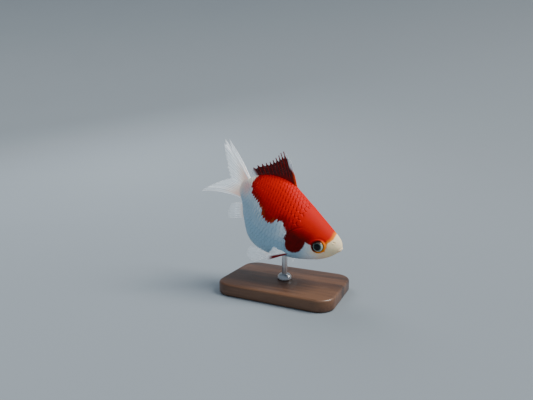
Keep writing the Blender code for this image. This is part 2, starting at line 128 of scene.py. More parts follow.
def on_side(place, sign, sink=0.0):
    """The point on one side of the body at a place (s, height), sunk towards the middle."""
    turns = np.linspace(0, math.pi, 721)
    column = body_point(place[0], turns)
    x, y, z = column[np.argmin(np.abs(column[:, 2] - place[1] * BODY_LENGTH))]
    return np.array([x, sign * (y - sink), z])


# %% [markdown]
# ## Tipping the fish
#
# The level fish has to land exactly on its solids. The two eyeballs are the best marks for that: they
# are round, so the middle of each box is the middle of the ball. The fish's own origin then follows
# from where the eyes sit on the level body.

# %% Where the fish is
EYE_AT = (0.163, -0.039)
EYE_RADIUS = 0.0027
EYE_SINK = 0.0009
EYE_FLATNESS = 0.78

eye_middles = [(box[0] + box[1]) / 2 for box in (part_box("eye_left"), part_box("eye_right"))]
between_eyes = (eye_middles[0] + eye_middles[1]) / 2
tip = Matrix.Rotation(NOSE_DOWN, 4, "Y")
level_middle = Vector((along(EYE_AT[0]), 0, EYE_AT[1] * BODY_LENGTH))
pose = Matrix.Translation(between_eyes - tip @ level_middle) @ tip
fish_origin = pose.translation
print("fish origin", [round(v, 5) for v in fish_origin])


def place(points):
    """Level fish points as points of the frame."""
    return np.asarray(points) @ np.array(pose.to_3x3()).T + np.array(fish_origin)


# %% [markdown]
# ## The camera, the light and the floor
#
# The camera looks from a little above, and from the front of the fish's right side, so it sees the
# forehead, one flank and the dorsal fin. Soft light from the upper right falls on the back, as daylight
# does on a fish. A weak, cool lamp fills the shaded belly, and one from behind picks out the thin fins.
# A single hard lamp would be simpler, but its glints would hide the markings.

# %% Camera and lamps
CAMERA_PLACE = Vector((0.07629, -0.18021, 0.07582))
CAMERA_TILT = math.radians(81.47)
CAMERA_HEADING = math.radians(25.64)
CAMERA_LENS = 27.0

camera_data = bpy.data.cameras.new("camera")
camera_data.lens = CAMERA_LENS
camera_data.clip_start = 0.005
camera = bpy.data.objects.new("camera", camera_data)
camera.location = CAMERA_PLACE
camera.rotation_euler = (CAMERA_TILT, 0, CAMERA_HEADING)
bpy.context.scene.collection.objects.link(camera)
bpy.context.scene.camera = camera

CAMERA_AZIMUTH = math.radians(22.0)
view_right = Vector((math.cos(CAMERA_AZIMUTH), math.sin(CAMERA_AZIMUTH), 0))
view_back = Vector((math.sin(CAMERA_AZIMUTH), -math.cos(CAMERA_AZIMUTH), 0))


def place_lamp(data, right, up, back):
    """Aim a lamp at the fish from a place in metres from it, as the camera sees them."""
    lamp = bpy.data.objects.new(data.name, data)
    offset = view_right * right + view_back * back + Vector((0, 0, up))
    lamp.location = fish_origin + offset
    lamp.rotation_euler = offset.to_track_quat("Z", "Y").to_euler()
    bpy.context.scene.collection.objects.link(lamp)
    return lamp


def soft_lamp(name, right, up, back, size, power, colour):
    """A square lamp that shades the form but leaves no glint on it."""
    data = bpy.data.lights.new(name, "AREA")
    data.size, data.energy, data.color = size, power, colour
    place_lamp(data, right, up, back).visible_glossy = False


daylight = bpy.data.lights.new("key_light", "SUN")
daylight.energy, daylight.angle, daylight.color = 4.7, math.radians(34), (1.0, 0.97, 0.92)
place_lamp(daylight, 0.52, 0.62, 0.04)
soft_lamp("fill_lamp", -0.45, 0.30, 0.60, 0.60, 1.1, (0.80, 0.91, 1.0))
soft_lamp("rim_lamp", -0.30, 0.50, -0.45, 0.40, 2.8, (0.96, 0.97, 1.0))

world = bpy.data.worlds.new("soft_room")
bpy.context.scene.world = world
world.use_nodes = True
world.node_tree.nodes["Background"].inputs["Color"].default_value = (0.66, 0.82, 1.0, 1)
world.node_tree.nodes["Background"].inputs["Strength"].default_value = 0.30
print("camera", round((CAMERA_PLACE - fish_origin).length, 3), "m from the fish")


# %% [markdown]
# ## Materials written as arithmetic
#
# A material is a graph of nodes, and long graphs are hard to read as code. The small class below wraps
# one socket, so that `1 - mask * 0.5` adds the Math nodes by itself. Anything else, such as a noise
# texture or a colour ramp, comes from one method, `node`.

# %% Node graphs in arithmetic
class Wire:
    """One output socket of a node, which can be used in arithmetic."""

    def __init__(self, graph, socket):
        self.graph, self.socket = graph, socket

    def math(self, operation, *values):
        return self.graph.math(operation, self, *values)

    def __add__(self, other):
        return self.math("ADD", other)

    def __sub__(self, other):
        return self.math("SUBTRACT", other)

    def __rsub__(self, other):
        return self.graph.math("SUBTRACT", other, self)

    def __mul__(self, other):
        return self.math("MULTIPLY", other)

    def __truediv__(self, other):
        return self.math("DIVIDE", other)

    def __pow__(self, other):
        return self.math("POWER", other)

    __radd__, __rmul__ = __add__, __mul__

    def step(self, low, high):
        """0 at low and 1 at high, with a smooth step between."""
        settings = {"interpolation_type": "SMOOTHSTEP"}
        return self.graph.node("ShaderNodeMapRange", settings, {0: self, 1: low, 2: high})

    def hill(self, middle, width):
        """1 at the middle, falling smoothly to nearly 0 two widths away."""
        off = (self - middle) / width
        return (off * off * -1.0).math("EXPONENT")


class Graph:
    """A node tree, of a material or of Geometry Nodes."""

    def __init__(self, tree):
        self.tree = tree

    def node(self, kind, settings=None, values=None, output=0):
        """A new node's output. Settings are set first, then the values or links of its sockets."""
        node = self.tree.nodes.new(kind)
        for key, value in (settings or {}).items():
            if key == "stops":
                self.set_stops(node.color_ramp, value)
            else:
                setattr(node, key, value)
        for key, value in (values or {}).items():
            self.put(node.inputs[key], value)
        return Wire(self, node.outputs[output])

    def put(self, socket, value):
        if isinstance(value, Wire):
            self.tree.links.new(value.socket, socket)
        else:
            socket.default_value = (*value, 1) if socket.type == "RGBA" else value

    def set_stops(self, ramp, stops):
        while len(ramp.elements) < len(stops):
            ramp.elements.new(0.5)
        for element, (at, colour) in zip(ramp.elements, stops):
            element.position, element.color = at, (*colour, 1)

    def math(self, operation, *values):
        return self.node("ShaderNodeMath", {"operation": operation}, dict(enumerate(values)))

    def parts(self, vector):
        """The three numbers in a vector."""
        return [self.node("ShaderNodeSeparateXYZ", None, {0: vector}, i) for i in range(3)]

    def vector(self, *values):
        return self.node("ShaderNodeCombineXYZ", None, dict(enumerate(values)))


# %% [markdown]
# A finish is one material, in the same arithmetic. A new material already has its main shader, and
# `shine` sets that shader's sockets by their names. A finish reads only the object's own coordinates and
# attributes, never the camera or the other pieces, so it looks the same from every side.

# %% One material
class Finish(Graph):
    """One material, whose Principled shader is set through shine()."""

    def __init__(self, name):
        self.material = bpy.data.materials.new(name)
        self.material.use_nodes = True
        super().__init__(self.material.node_tree)
        self.shader = self.tree.nodes["Principled BSDF"]

    def mix(self, share, colour, other):
        """A colour that turns into the other one as share goes from 0 to 1."""
        return self.node("ShaderNodeMix", {"data_type": "RGBA"}, {0: share, 6: colour, 7: other}, 2)

    def attribute(self, name, output="Fac"):
        return self.node("ShaderNodeAttribute", {"attribute_name": name}, output=output)

    def noise(self, scale, detail=3.0, roughness=0.55, stretch=None):
        """Cloudy noise from 0 to 1. scale is in lumps for each metre of the object."""
        vector = self.node("ShaderNodeTexCoord", output="Object")
        if stretch:
            vector = self.node("ShaderNodeMapping", None, {"Vector": vector, "Scale": stretch})
        values = {"Vector": vector, "Scale": scale, "Detail": detail, "Roughness": roughness}
        return self.node("ShaderNodeTexNoise", None, values)

    def bump(self, height, depth, strength=1.0):
        """A normal bent by the height, whose full range stands for depth metres."""
        values = {"Height": height, "Distance": depth, "Strength": strength}
        return self.node("ShaderNodeBump", None, values)

    def shine(self, **sockets):
        for name, value in sockets.items():
            self.put(self.shader.inputs[name.replace("_", " ")], value)
        return self.material


# %% [markdown]
# ## The markings
#
# Skin, scales and markings have to agree, or a scale would be white on red skin. So every vertex of
# both carries a "place" attribute: s, the height in body lengths, and how far round to the left or
# right it lies. One function turns that place into colours. They could be painted by hand, but then the
# scales could not ask for the colour of the skin below them.

# %% Colours of the skin
SCARLET = (0.68, 0.003, 0.001)
ORANGE_RED = (0.56, 0.010, 0.001)
CRIMSON = (0.36, 0.001, 0.001)
MAROON = (0.075, 0.002, 0.002)
FRINGE = (0.90, 0.25, 0.010)
RUST = (0.50, 0.060, 0.004)
CREAM = (0.99, 0.80, 0.50)
PEARL = (0.74, 0.80, 0.84)
BLUE_PEARL_AND_SHADE = (0.34, 0.52, 0.65)
GREY_BLUE = (0.26, 0.38, 0.47)
ROSE = (0.97, 0.64, 0.56)
TAIL_PINK = (0.94, 0.50, 0.45)
FIN_FOOT = (0.98, 0.80, 0.70)
RIDGE_HIGHLIGHT_CREAM = (1.0, 0.90, 0.74)
PAINTED_GLINT_SILVER = (1.0, 0.99, 0.94)

# %% [markdown]
# The red is one saddle over the back, with a patch on each gill cover and a ring round each eye added,
# and with the snout and the tail's root cut off it. Its lower edge on the flank is one sloping line. Each
# lobe or notch along it is a hill, given by the s of its middle, its width, and how far it lifts the line.

# %% Where the red is
HEAD_EDGE_HEIGHT = -0.057
FLANK_EDGE_AT = (0.86, 0.022)
FLANK_EDGE_SLOPE = 0.135
EDGE_LOBES = ((0.615, 0.055, -0.065), (0.670, 0.045, -0.035), (0.745, 0.040, -0.024),
              (0.503, 0.030, 0.028))
SNOUT_LIMIT = 0.100
TAIL_LIMIT = 0.938
TAIL_EDGE_S = 0.870
TAIL_EDGE_SLOPE = 0.75
GILL_CENTRE = (0.285, -0.100)
GILL_RADII = (0.130, 0.142)
GILL_PATCH = (0.346, -0.078, 0.086, 0.120)
GILL_PATCH_SQUARENESS = 2.6
EYE_PATCH_RADIUS = 0.056
PALE_RIM = 0.05


def oval(s, height, middle_s, middle_height, half_s, half_height, squareness=2.0):
    """1 in the middle of an oval, 0 on its edge, negative outside."""
    off_s, off_height = (s - middle_s) / half_s, (height - middle_height) / half_height
    off_s, off_height = off_s.math("ABSOLUTE") ** squareness, off_height.math("ABSOLUTE") ** squareness
    return 1.0 - (off_s + off_height) ** (1 / squareness)


def red_depth(s, height):
    """How far inside the red a place is, in body lengths, negative in the white."""
    line = (s - FLANK_EDGE_AT[0]) * FLANK_EDGE_SLOPE + FLANK_EDGE_AT[1]
    for middle, width, lift in EDGE_LOBES:
        line = line + s.hill(middle, width) * lift
    behind_gill = s.step(0.425, 0.475)
    edge = HEAD_EDGE_HEIGHT + (line - HEAD_EDGE_HEIGHT) * behind_gill
    saddle = height - edge
    patch = oval(s, height, *GILL_PATCH, squareness=GILL_PATCH_SQUARENESS) * GILL_PATCH[2]
    inside_cover = (oval(s, height, *GILL_CENTRE, *GILL_RADII) - PALE_RIM) * GILL_RADII[0]
    patch = patch.math("MINIMUM", inside_cover + height.step(-0.125, -0.075))
    ring = oval(s, height, *EYE_AT, EYE_PATCH_RADIUS, EYE_PATCH_RADIUS) * EYE_PATCH_RADIUS
    red = saddle.math("MAXIMUM", patch).math("MAXIMUM", ring)
    snout = SNOUT_LIMIT + height.hill(0.010, 0.022) * 0.010 - height.hill(0.064, 0.022) * 0.009
    tail = (height * TAIL_EDGE_SLOPE + TAIL_EDGE_S).math("MINIMUM", TAIL_LIMIT)
    return red.math("MINIMUM", s - snout).math("MINIMUM", tail - s)


# %% [markdown]
# Neither the red nor the white is one colour. On the living fish the red glows orange where the skin is
# thin over the skull. Lower down it turns crimson, partly its own deeper red and partly painted shade.
# Over the gills it is painted dark maroon as shade, and along its lower edge on the flank partly so, over
# a darker edge of its own. The white turns from cream to pearl, and below it is painted a cool blue-grey,
# mostly as shade, over a faint bluish cast of its own, with pink where blood shows through. Broad smooth
# steps along s and the height mix these in, and cloudy noise breaks them up.

# %% Red and white
def red_colours(finish, s, height, depth, cloud):
    """Scarlet on the back, orange on the forehead, and crimson and maroon below, in part painted shade."""
    # The lower red is crimson, partly its own deeper red and partly painted shade under the lit back.
    shade = height.step(0.12, -0.03) * s.step(0.12, 0.30)
    colour = finish.mix(shade * 0.75 + (cloud - 0.5) * 0.5, SCARLET, CRIMSON)
    forehead = s.step(0.50, 0.20) * height.step(-0.04, 0.10)
    colour = finish.mix(forehead * 0.7, colour, ORANGE_RED)
    # Painted shade: dark maroon over the gill covers, and along the flank's lower red edge over a darker
    # edge of its own.
    painted_gill_shade = height.step(0.060, -0.070) * s.step(0.205, 0.262) * s.step(0.485, 0.405)
    flank_dark_and_shade = depth.step(0.080, 0.010) * s.step(0.425, 0.475) * 0.55
    dark = painted_gill_shade.math("MAXIMUM", flank_dark_and_shade) + (cloud - 0.5) * 0.35 * shade
    return finish.mix(dark * 0.88, colour, MAROON)


def white_colours(finish, s, height, cloud):
    """Cream on the snout, pearl behind it, painted blue-grey shade below, and pink at tail root, lips and
    cheek.
    """
    behind_snout = s.step(0.12, 0.25).math("MAXIMUM", s.step(0.06, 0.18) * height.step(-0.06, -0.16))
    white = finish.mix(behind_snout, CREAM, PEARL)
    # Painted shade: the white below and on the lower rear flank turns blue-grey, over a faint bluish cast
    # of its own.
    shaded = s.step(0.16, 0.30) * height.step(-0.03, -0.20)
    shaded = shaded.math("MAXIMUM", s.step(0.42, 0.55) * height.step(0.06, -0.10) * 0.85)
    white = finish.mix(shaded, white, BLUE_PEARL_AND_SHADE)
    tail_root = s.step(0.89, 0.96)
    white = finish.mix(tail_root * height.step(-0.10, 0.03) * 0.80, white, ROSE)
    white = finish.mix(tail_root * height.hill(0.040, 0.040) * 0.55, white, TAIL_PINK)
    # Painted highlight: the ridge on top of the tail's root is painted light cream, as if lit from above.
    white = finish.mix(s.step(0.91, 0.97) * height.step(0.060, 0.088), white, RIDGE_HIGHLIGHT_CREAM)
    white = finish.mix(s.step(0.975, 1.02) * 0.8, white, FIN_FOOT)
    lips = s.step(0.030, 0.006) * height.step(0.020, 0.000) * 0.35
    blush = s.hill(0.115, 0.050) * height.hill(-0.095, 0.045) * cloud.step(0.35, 0.60) * 0.45
    white = finish.mix(lips.math("MAXIMUM", blush), white, ROSE)
    return finish.mix(cloud.step(0.50, 0.75) * 0.2, white, BLUE_PEARL_AND_SHADE)


# %% [markdown]
# The edge between them is ragged, more so on the scales than on the head, and has a fringe of orange on
# the snout and of rust on the flank. A scale's free edge is a little darker than its middle. Just below
# the red saddle the white is painted greyer, and the free edges there are painted silver, a bright net of
# painted glints. The gill cover has fine furrows, fanning out from its hinge, and a few white scales shine
# like metal.

# %% The finish of the skin
GILL_FAN_FROM = (0.225, 0.010)
GILL_FURROWS = 64
SKIN_RELIEF = 0.00005


def marking_colours(finish, s, height):
    """The skin's colour, how red it is from 0 to 1, and fine noise."""
    cloud, fine = finish.noise(420, 2), finish.noise(1500, 2)
    on_scales = s.step(0.40, 0.46)
    ragged = (cloud - 0.5) * (0.016 + on_scales * 0.014) + (fine - 0.5) * 0.004
    depth = red_depth(s, height) + ragged
    red = depth.step(-0.005, 0.006)
    colour = red_colours(finish, s, height, depth, cloud)
    snout_fringe = depth.step(0.034, 0.004) * fine.step(0.15, 0.45) * s.step(0.22, 0.15)
    on_flank = s.step(0.53, 0.60) * s.step(0.82, 0.72)
    flank_fringe = depth.step(0.040, 0.004) * on_flank * fine.step(0.20, 0.70)

    # Round the eye the rim is painted maroon behind it, as shade, and orange in front, as a fringe.
    from_eye = oval(s, height, *EYE_AT, EYE_PATCH_RADIUS, EYE_PATCH_RADIUS)
    eye_rim = from_eye.hill(0.09, 0.11) + from_eye.step(0.14, 0.20)
    rim_shade_and_fringe = finish.mix(s.step(0.175, 0.135), MAROON, FRINGE)
    red_skin = finish.mix(snout_fringe, colour, FRINGE)
    red_skin = finish.mix(flank_fringe * 0.75, red_skin, RUST)
    red_skin = finish.mix((eye_rim * 0.85).math("MINIMUM", 1.0), red_skin, rim_shade_and_fringe)

    free_edge = finish.attribute("free_edge").step(0.55, 1.0)
    white = white_colours(finish, s, height, cloud)
    # Painted glints: just below the red the scales' free edges are painted silver, and the white round them
    # greyer.
    painted_glint_band = height.hill(-0.045, 0.065) * s.hill(0.70, 0.095)
    white = finish.mix(painted_glint_band * 0.35, white, GREY_BLUE)
    white = finish.mix(free_edge * (0.50 - painted_glint_band * 0.50), white, GREY_BLUE)
    white = finish.mix(free_edge * painted_glint_band, white, PAINTED_GLINT_SILVER)
    red_skin = finish.mix(free_edge * 0.12, red_skin, MAROON)
    return finish.mix(red, white, red_skin), red, fine


def skin_finish():
    finish = Finish("skin")
    s, height, _ = finish.parts(finish.attribute("place", "Vector"))
    colour, red, fine = marking_colours(finish, s, height)
    pores = finish.noise(2600, 3)
    tone = finish.attribute("tone")
    shiny = (1 - red) * s.step(0.46, 0.54) * tone.step(0.55, 0.95) * 0.6
    roughness = 0.54 + (pores - 0.5) * 0.16 + (1 - s.step(0.36, 0.44)) * 0.08 - shiny * 0.24
    gill = oval(s, height, *GILL_CENTRE, *GILL_RADII)
    fan_angle = (height - GILL_FAN_FROM[1]).math("ARCTAN2", s - GILL_FAN_FROM[0])
    furrows = (fan_angle * GILL_FURROWS).math("SINE") * gill.step(0.04, 0.12) * s.step(0.24, 0.30)
    normal = finish.bump(pores * 0.6 + fine * 0.4 + furrows * 0.35, SKIN_RELIEF)
    finish.shine(Specular_IOR_Level=0.10, Subsurface_Weight=0.04)
    finish.shine(Subsurface_Radius=(0.9, 0.35, 0.2), Subsurface_Scale=0.0006)
    return finish.shine(Base_Color=colour, Metallic=shiny * 0.45, Roughness=roughness, Normal=normal)


skin_material = skin_finish()
print("skin material:", len(skin_material.node_tree.nodes), "nodes")

# %% [markdown]
# ## The skin
#
# On the real fish the head is bare skin over bone, and the rest is skin under scales. One closed skin
# covers head, jaw, gill covers, trunk and tail root, so that no seam shows. It is a fine grid of rings
# on the body's formula, closer together on the head, and each feature is a small lift or dent in
# millimetres. Sculpting would do too, but numbers keep every feature where the solids have it. Behind
# the head the skin lies inside the solids by the coat's depth.

# %% A grid over the body
HEAD_STEP = 0.0023
TRUNK_STEP = 0.0066
FINE_RINGS_TO = 0.44
AROUND = 256
MM = 0.001


def ring_places():
    """The s of each ring of the grid: close on the head, and closer still at both rounded ends."""
    s, rings = 0.0004, []
    while s < TAIL_END - 0.0003:
        rings.append(s)
        widest = HEAD_STEP if s < FINE_RINGS_TO else TRUNK_STEP
        s += widest * min(1.0, 0.10 + s / NOSE_ROUNDING, 0.10 + (TAIL_END - s) / TAIL_ROUNDING)
    return np.array(rings)


ring_s = ring_places()
turns = np.radians(np.linspace(-180, 180, AROUND, endpoint=False))
grid_s, grid_turn = np.meshgrid(ring_s, turns, indexing="ij")
print(len(ring_s), "rings of", AROUND, "points")

# %% [markdown]
# Where the head ends matters twice: the scales begin behind it, and the coat's depth does too. The line
# runs from nape to throat, and swings back round the gill cover's free edge.

# %% Where the head ends
NAPE = (0.385, 0.210)
THROAT = (0.320, -0.327)


def head_edge(height):
    """The s at which the head ends, at a height in body lengths."""
    up = (height - THROAT[1]) / (NAPE[1] - THROAT[1])
    line = THROAT[0] + (NAPE[0] - THROAT[0]) * up
    rise = np.clip((height - GILL_CENTRE[1]) / GILL_RADII[1], -1, 1)
    gill = GILL_CENTRE[0] + GILL_RADII[0] * np.sqrt(1 - rise**2)
    return np.where(np.abs(rise) < 1, np.maximum(line, gill), line)


print("the head ends at s", [round(float(head_edge(at)), 3) for at in (NAPE[1], 0.0, THROAT[1])])

# %% [markdown]
# Two shapes are enough for every feature: a round bulge, and a smooth step from one level to another.

# %% Bulges and steps
def bulge(distance, width):
    """1 where the distance is 0, falling smoothly to nothing over about two widths."""
    return np.exp(-((distance / width) ** 2))


def step(value, low, high):
    """0 at low and 1 at high, with a smooth step between."""
    share = np.clip((value - low) / (high - low), 0, 1)
    return share * share * (3 - 2 * share)


# %% [markdown]
# Each feature below gives a lift in millimetres, up or down from the smooth body. `apart` measures from
# a place on the side in millimetres, so that a rim 0.4 mm wide is written as 0.4. The gill cover comes
# first. It is a bony plate, hinged in front and free at its rear edge, and the cheek before it is puffed
# and ends in a ridge of its own.

# %% Gill cover and cheek
CHEEK_CENTRE = (0.120, -0.060)
CHEEK_RADIUS = 0.125


def apart(s, height, spot):
    return np.hypot(s - spot[0], height - spot[1]) * BODY_LENGTH / MM


def gill_cover_lift(s, height):
    """A plate with a free rear edge, and the groove of the gill opening behind it."""
    gill_s, gill_up = (s - GILL_CENTRE[0]) / GILL_RADII[0], (height - GILL_CENTRE[1]) / GILL_RADII[1]
    ring, angle = np.hypot(gill_s, gill_up), np.degrees(np.arctan2(gill_up, gill_s))
    free = step(angle, -118, -98) * (1 - step(angle, 34, 80))
    soft = 1 + 1.5 * np.sin(np.radians(angle)) ** 2
    plate = step(ring, 0.25, 0.92) * (1 - step(ring, 1 - 0.016 * soft, 1 + 0.010 * soft))
    seam = bulge(ring - 0.90, 0.020 * soft)
    opening = bulge(ring - 1.035, 0.024 * soft**0.5)
    return free * (0.26 * plate - 0.07 * seam - 0.30 * opening)


def cheek_lift(s, height):
    """The ridge behind the cheek, and the puffed cheek itself."""
    off_s, off_up = s - CHEEK_CENTRE[0], height - CHEEK_CENTRE[1]
    ring, angle = np.hypot(off_s, off_up) / CHEEK_RADIUS, np.degrees(np.arctan2(off_up, off_s))
    behind = step(angle, -100, -70) * (1 - step(angle, 10, 45))
    ridge = behind * (0.10 * bulge(ring - 0.91, 0.06) - 0.15 * bulge(ring - 1.01, 0.035))
    puff = 0.22 * bulge(apart(s, height, (0.150, -0.135)), 2.6)
    return ridge + puff


# %% [markdown]
# The eye sits in a soft rim on a swelling of the head. Round it, sense organs open in rows of tiny pits.
# A nostril is one opening that an upright flap of skin parts in two. All this could be painted, but real
# dents catch the light from every side. A row of pores is given by the middle and radius of its curve,
# its first and last angle, and how many there are.

# %% Eye, pores and nostrils
PORE_ROWS = ((EYE_AT, 0.079, -165, 10, 11), (CHEEK_CENTRE, 0.109, -78, -8, 6))
NOSTRIL_AT = (0.075, 0.042)


def eye_lift(s, height):
    """The swelling that carries the eye, a soft rim round it, and the socket under it."""
    off = apart(s, height, EYE_AT)
    socket = -1.7 * (1 - step(off, 2.25, 2.52))
    return 0.22 * bulge(off, 4.4) + 0.34 * bulge(off - 2.85, 0.42) - 0.12 * bulge(off - 3.7, 0.4) + socket


def pore_lift(s, height):
    """Sense pores: a curved row of tiny pits under the eye, and a second row along the cheek."""
    lift = np.zeros(np.shape(s))
    for centre, radius, first, last, count in PORE_ROWS:
        for angle in np.radians(np.linspace(first, last, count)):
            spot = (centre[0] + radius * math.cos(angle), centre[1] + radius * math.sin(angle))
            lift -= 0.13 * bulge(apart(s, height, spot), 0.17)
    return lift


def nostril_lift(s, height):
    """Two small pits, with the upright flap of skin between them."""
    off_s, off_up = (s - NOSTRIL_AT[0]) * BODY_LENGTH / MM, (height - NOSTRIL_AT[1]) * BODY_LENGTH / MM
    lift = 0.16 * bulge(np.hypot(off_s, off_up) - 0.62, 0.24)
    for way in (-1, 1):
        lift = lift - 0.55 * bulge(np.hypot(off_s - 0.36 * way, off_up), 0.24)
    return lift + 0.42 * bulge(off_s, 0.15) * bulge(off_up, 0.42)


# %% [markdown]
# The mouth is small and lies at the very tip of the snout. It is closed, so it needs no inside: a slit
# with two lips is enough. Under the head the two gill covers meet in a groove.

# %% Mouth and throat
MOUTH_START = 0.004
MOUTH_SLOPE = -0.88
MOUTH_DROOP = 0.08


def mouth_lift(s, height, y):
    """The small closed mouth: a slit that droops at its corners, two fleshy lips, and a fold round them."""
    aside = np.abs(y) / MM
    slit = (height - MOUTH_START - MOUTH_SLOPE * s) * BODY_LENGTH / MM * math.cos(math.atan(MOUTH_SLOPE))
    slit = slit + MOUTH_DROOP * aside**2
    in_front = 1 - step(s, 0.060, 0.090)
    lips = (0.24 * bulge(slit - 0.46, 0.27) + 0.19 * bulge(slit + 0.46, 0.29)) * (1 - step(aside, 1.5, 2.7))
    opening = -0.46 * bulge(slit, 0.13) * (1 - step(aside, 1.9, 2.5))
    ring = np.hypot(aside / 2.75, (slit - 0.05) / 1.20)
    fold = -0.13 * bulge(ring - 1.02, 0.13)
    return in_front * (lips + opening + fold)


def throat_lift(s, height, y):
    """The groove along the middle of the throat, between the two gill covers."""
    under = (1 - step(height, -0.15, -0.10)) * step(s, 0.06, 0.10) * (1 - step(s, 0.29, 0.34))
    return -0.16 * under * bulge(y / MM, 0.5)


# %% [markdown]
# The flesh also swells where a fin grows out of it. These spots are named here, because the fins are
# rooted in them later on. Each swelling has a height and a width in millimetres.

# %% The fleshy roots of the fins, and the vent
DORSAL_ROOT_S = (0.556, 0.955)
PECTORAL_ROOT = ((0.328, 0.356), (134, 124))
PELVIC_ROOT = ((0.455, 0.500), (165, 158))
ANAL_ROOT = ((0.870, 0.940), (172, 166))
FIN_SWELLINGS = ((PECTORAL_ROOT, 0.50, 1.5), (PELVIC_ROOT, 0.32, 1.8), (ANAL_ROOT, 0.22, 1.8))
VENT_S = 0.856


def root_middle(root):
    return body_point(sum(root[0]) / 2, math.radians(sum(root[1]) / 2))


def fleshy_lift(points, s):
    """Swellings under the paired fins, the rim of the vent, and a low ridge that carries the dorsal fin."""
    mirrored = points * (1, 0, 1) + np.abs(points) * (0, 1, 0)
    lift = np.zeros(s.shape)
    for root, height, width in FIN_SWELLINGS:
        lift += height * bulge(np.linalg.norm(mirrored - root_middle(root), axis=-1) / MM, width)
    vent = np.linalg.norm(points - body_point(VENT_S, math.pi), axis=-1) / MM
    lift += 0.34 * bulge(vent, 0.8) - 0.34 * bulge(vent, 0.28)
    on_back = (points[..., 2] > 0) * step(s, 0.54, 0.57) * (1 - step(s, 0.95, 0.98))
    return lift + 0.45 * on_back * bulge(points[..., 1] / MM, 0.8)


# %% [markdown]
# Now the smooth body is pushed out and in along its own normals by the sum of those lifts. Behind the
# head it first sinks by the depth of the coat, so that the scales' free edges end where the solids do.

# %% Pushing the body out and in
COAT_DEPTH = 0.135 * MM
COAT_BLEND = 0.034


def outward_normals(points):
    """Normals of a grid of points that closes round its second axis."""
    round_it = np.concatenate([points[:, -1:], points, points[:, :1]], axis=1)
    down, across = np.gradient(points, axis=0), (round_it[:, 2:] - round_it[:, :-2]) / 2
    normal = np.cross(down, across)
    normal /= np.linalg.norm(normal, axis=-1, keepdims=True)
    middle = points.mean(axis=1, keepdims=True)
    return normal * np.sign(((points - middle) * normal).sum(-1).mean())


smooth_body = body_point(grid_s, grid_turn)
grid_height = smooth_body[..., 2] / BODY_LENGTH
behind_head = grid_s - head_edge(grid_height)
lift = -step(behind_head, 0.0, COAT_BLEND) * COAT_DEPTH / MM
for feature in (gill_cover_lift, cheek_lift, eye_lift, pore_lift, nostril_lift):
    lift = lift + feature(grid_s, grid_height)
for feature in (mouth_lift, throat_lift):
    lift = lift + feature(grid_s, grid_height, smooth_body[..., 1])
fin_roots = fleshy_lift(smooth_body, grid_s)
lift += fin_roots
skin_points = smooth_body + outward_normals(smooth_body) * lift[..., None] * MM
print("lifts from", round(lift.min(), 2), "to", round(lift.max(), 2), "mm")


# %% [markdown]
# Most pieces here are made from points and faces that Python works out. One helper turns them into an
# object and lets Blender turn every face outward. Another keeps a value on every point, for materials
# and node trees to read. The skin's last rings stop just short of the snout's and the tail's tip, where
# one vertex closes each end.

# %% Points and faces as an object
def tube_faces(rings, around):
    """Quads of a tube of rings, then a fan of triangles that closes each end."""
    ring, column = np.meshgrid(np.arange(rings - 1), np.arange(around), indexing="ij")
    after = (column + 1) % around
    quads = np.stack([ring * around + column, (ring + 1) * around + column,
                      (ring + 1) * around + after, ring * around + after], axis=-1).reshape(-1, 4)
    nose, tail, last = rings * around, rings * around + 1, (rings - 1) * around
    fans = [(nose, c, (c + 1) % around) for c in range(around)]
    fans += [(tail, last + (c + 1) % around, last + c) for c in range(around)]
    return quads.tolist() + fans


def new_piece(name, points, faces, material):
    """A smooth mesh object at the origin, with its faces pointing out."""
    mesh = bpy.data.meshes.new(name)
    mesh.from_pydata(np.asarray(points).reshape(-1, 3).tolist(), [], faces)
    work = bmesh.new()
    work.from_mesh(mesh)
    bmesh.ops.recalc_face_normals(work, faces=work.faces)
    work.to_mesh(mesh)
    work.free()
    mesh.shade_smooth()
    mesh.materials.append(material)
    piece = bpy.data.objects.new(name, mesh)
    bpy.context.scene.collection.objects.link(piece)
    return piece


def store(mesh, name, values, kind="FLOAT_VECTOR", domain="POINT"):
    """A named attribute on the mesh's points or corners, which materials and node trees can read."""
    attribute = mesh.attributes.new(name, kind, domain)
    key = "value" if kind == "FLOAT" else "vector"
    attribute.data.foreach_set(key, np.asarray(values, np.float32).ravel())


ends = np.array([(along(0.0), 0, MOUTH_START * BODY_LENGTH), (along(TAIL_END), 0, 0)])
all_points = np.concatenate([place(skin_points).reshape(-1, 3), place(ends)])
skin = new_piece("skin", all_points, tube_faces(*grid_s.shape), skin_material)
print("skin:", len(skin.data.polygons), "faces")

# %% [markdown]
# The scales have to find their places on the skin, so it gets a flat map, as if it were cut open along
# the belly. Blender can unwrap a mesh by itself, but here one axis of the map has to be s and the other
# the way round. The values that the markings and the scales ask for are kept on its points.

# %% The skin's flat map and its values
def unwrap_body(mesh, name="unwrap"):
    """A flat map of the skin: s along it, and once round from belly to belly across it."""
    vertex = np.zeros(len(mesh.loops), int)
    starts = np.zeros(len(mesh.polygons), int)
    mesh.loops.foreach_get("vertex_index", vertex)
    mesh.polygons.foreach_get("loop_start", starts)
    starts.sort()
    face = np.zeros(len(vertex), int)
    face[starts[1:]] = 1
    face = np.cumsum(face)
    pole = vertex >= grid_s.size
    lap = np.where(pole, 0.0, vertex % AROUND / AROUND)
    highest = np.maximum.reduceat(lap, starts)[face]
    # a face across the cut runs on past 1, and in each triangle the end's vertex has the middle lap
    lap = np.where((highest > 0.75) & (lap < 0.25), lap + 1.0, lap)
    lap = np.where(pole, highest - 0.5 / AROUND, lap)
    s = np.append(grid_s.ravel(), (0.0, TAIL_END))[vertex]
    store(mesh, name, np.stack([s / TAIL_END, lap], axis=-1), "FLOAT2", "CORNER")


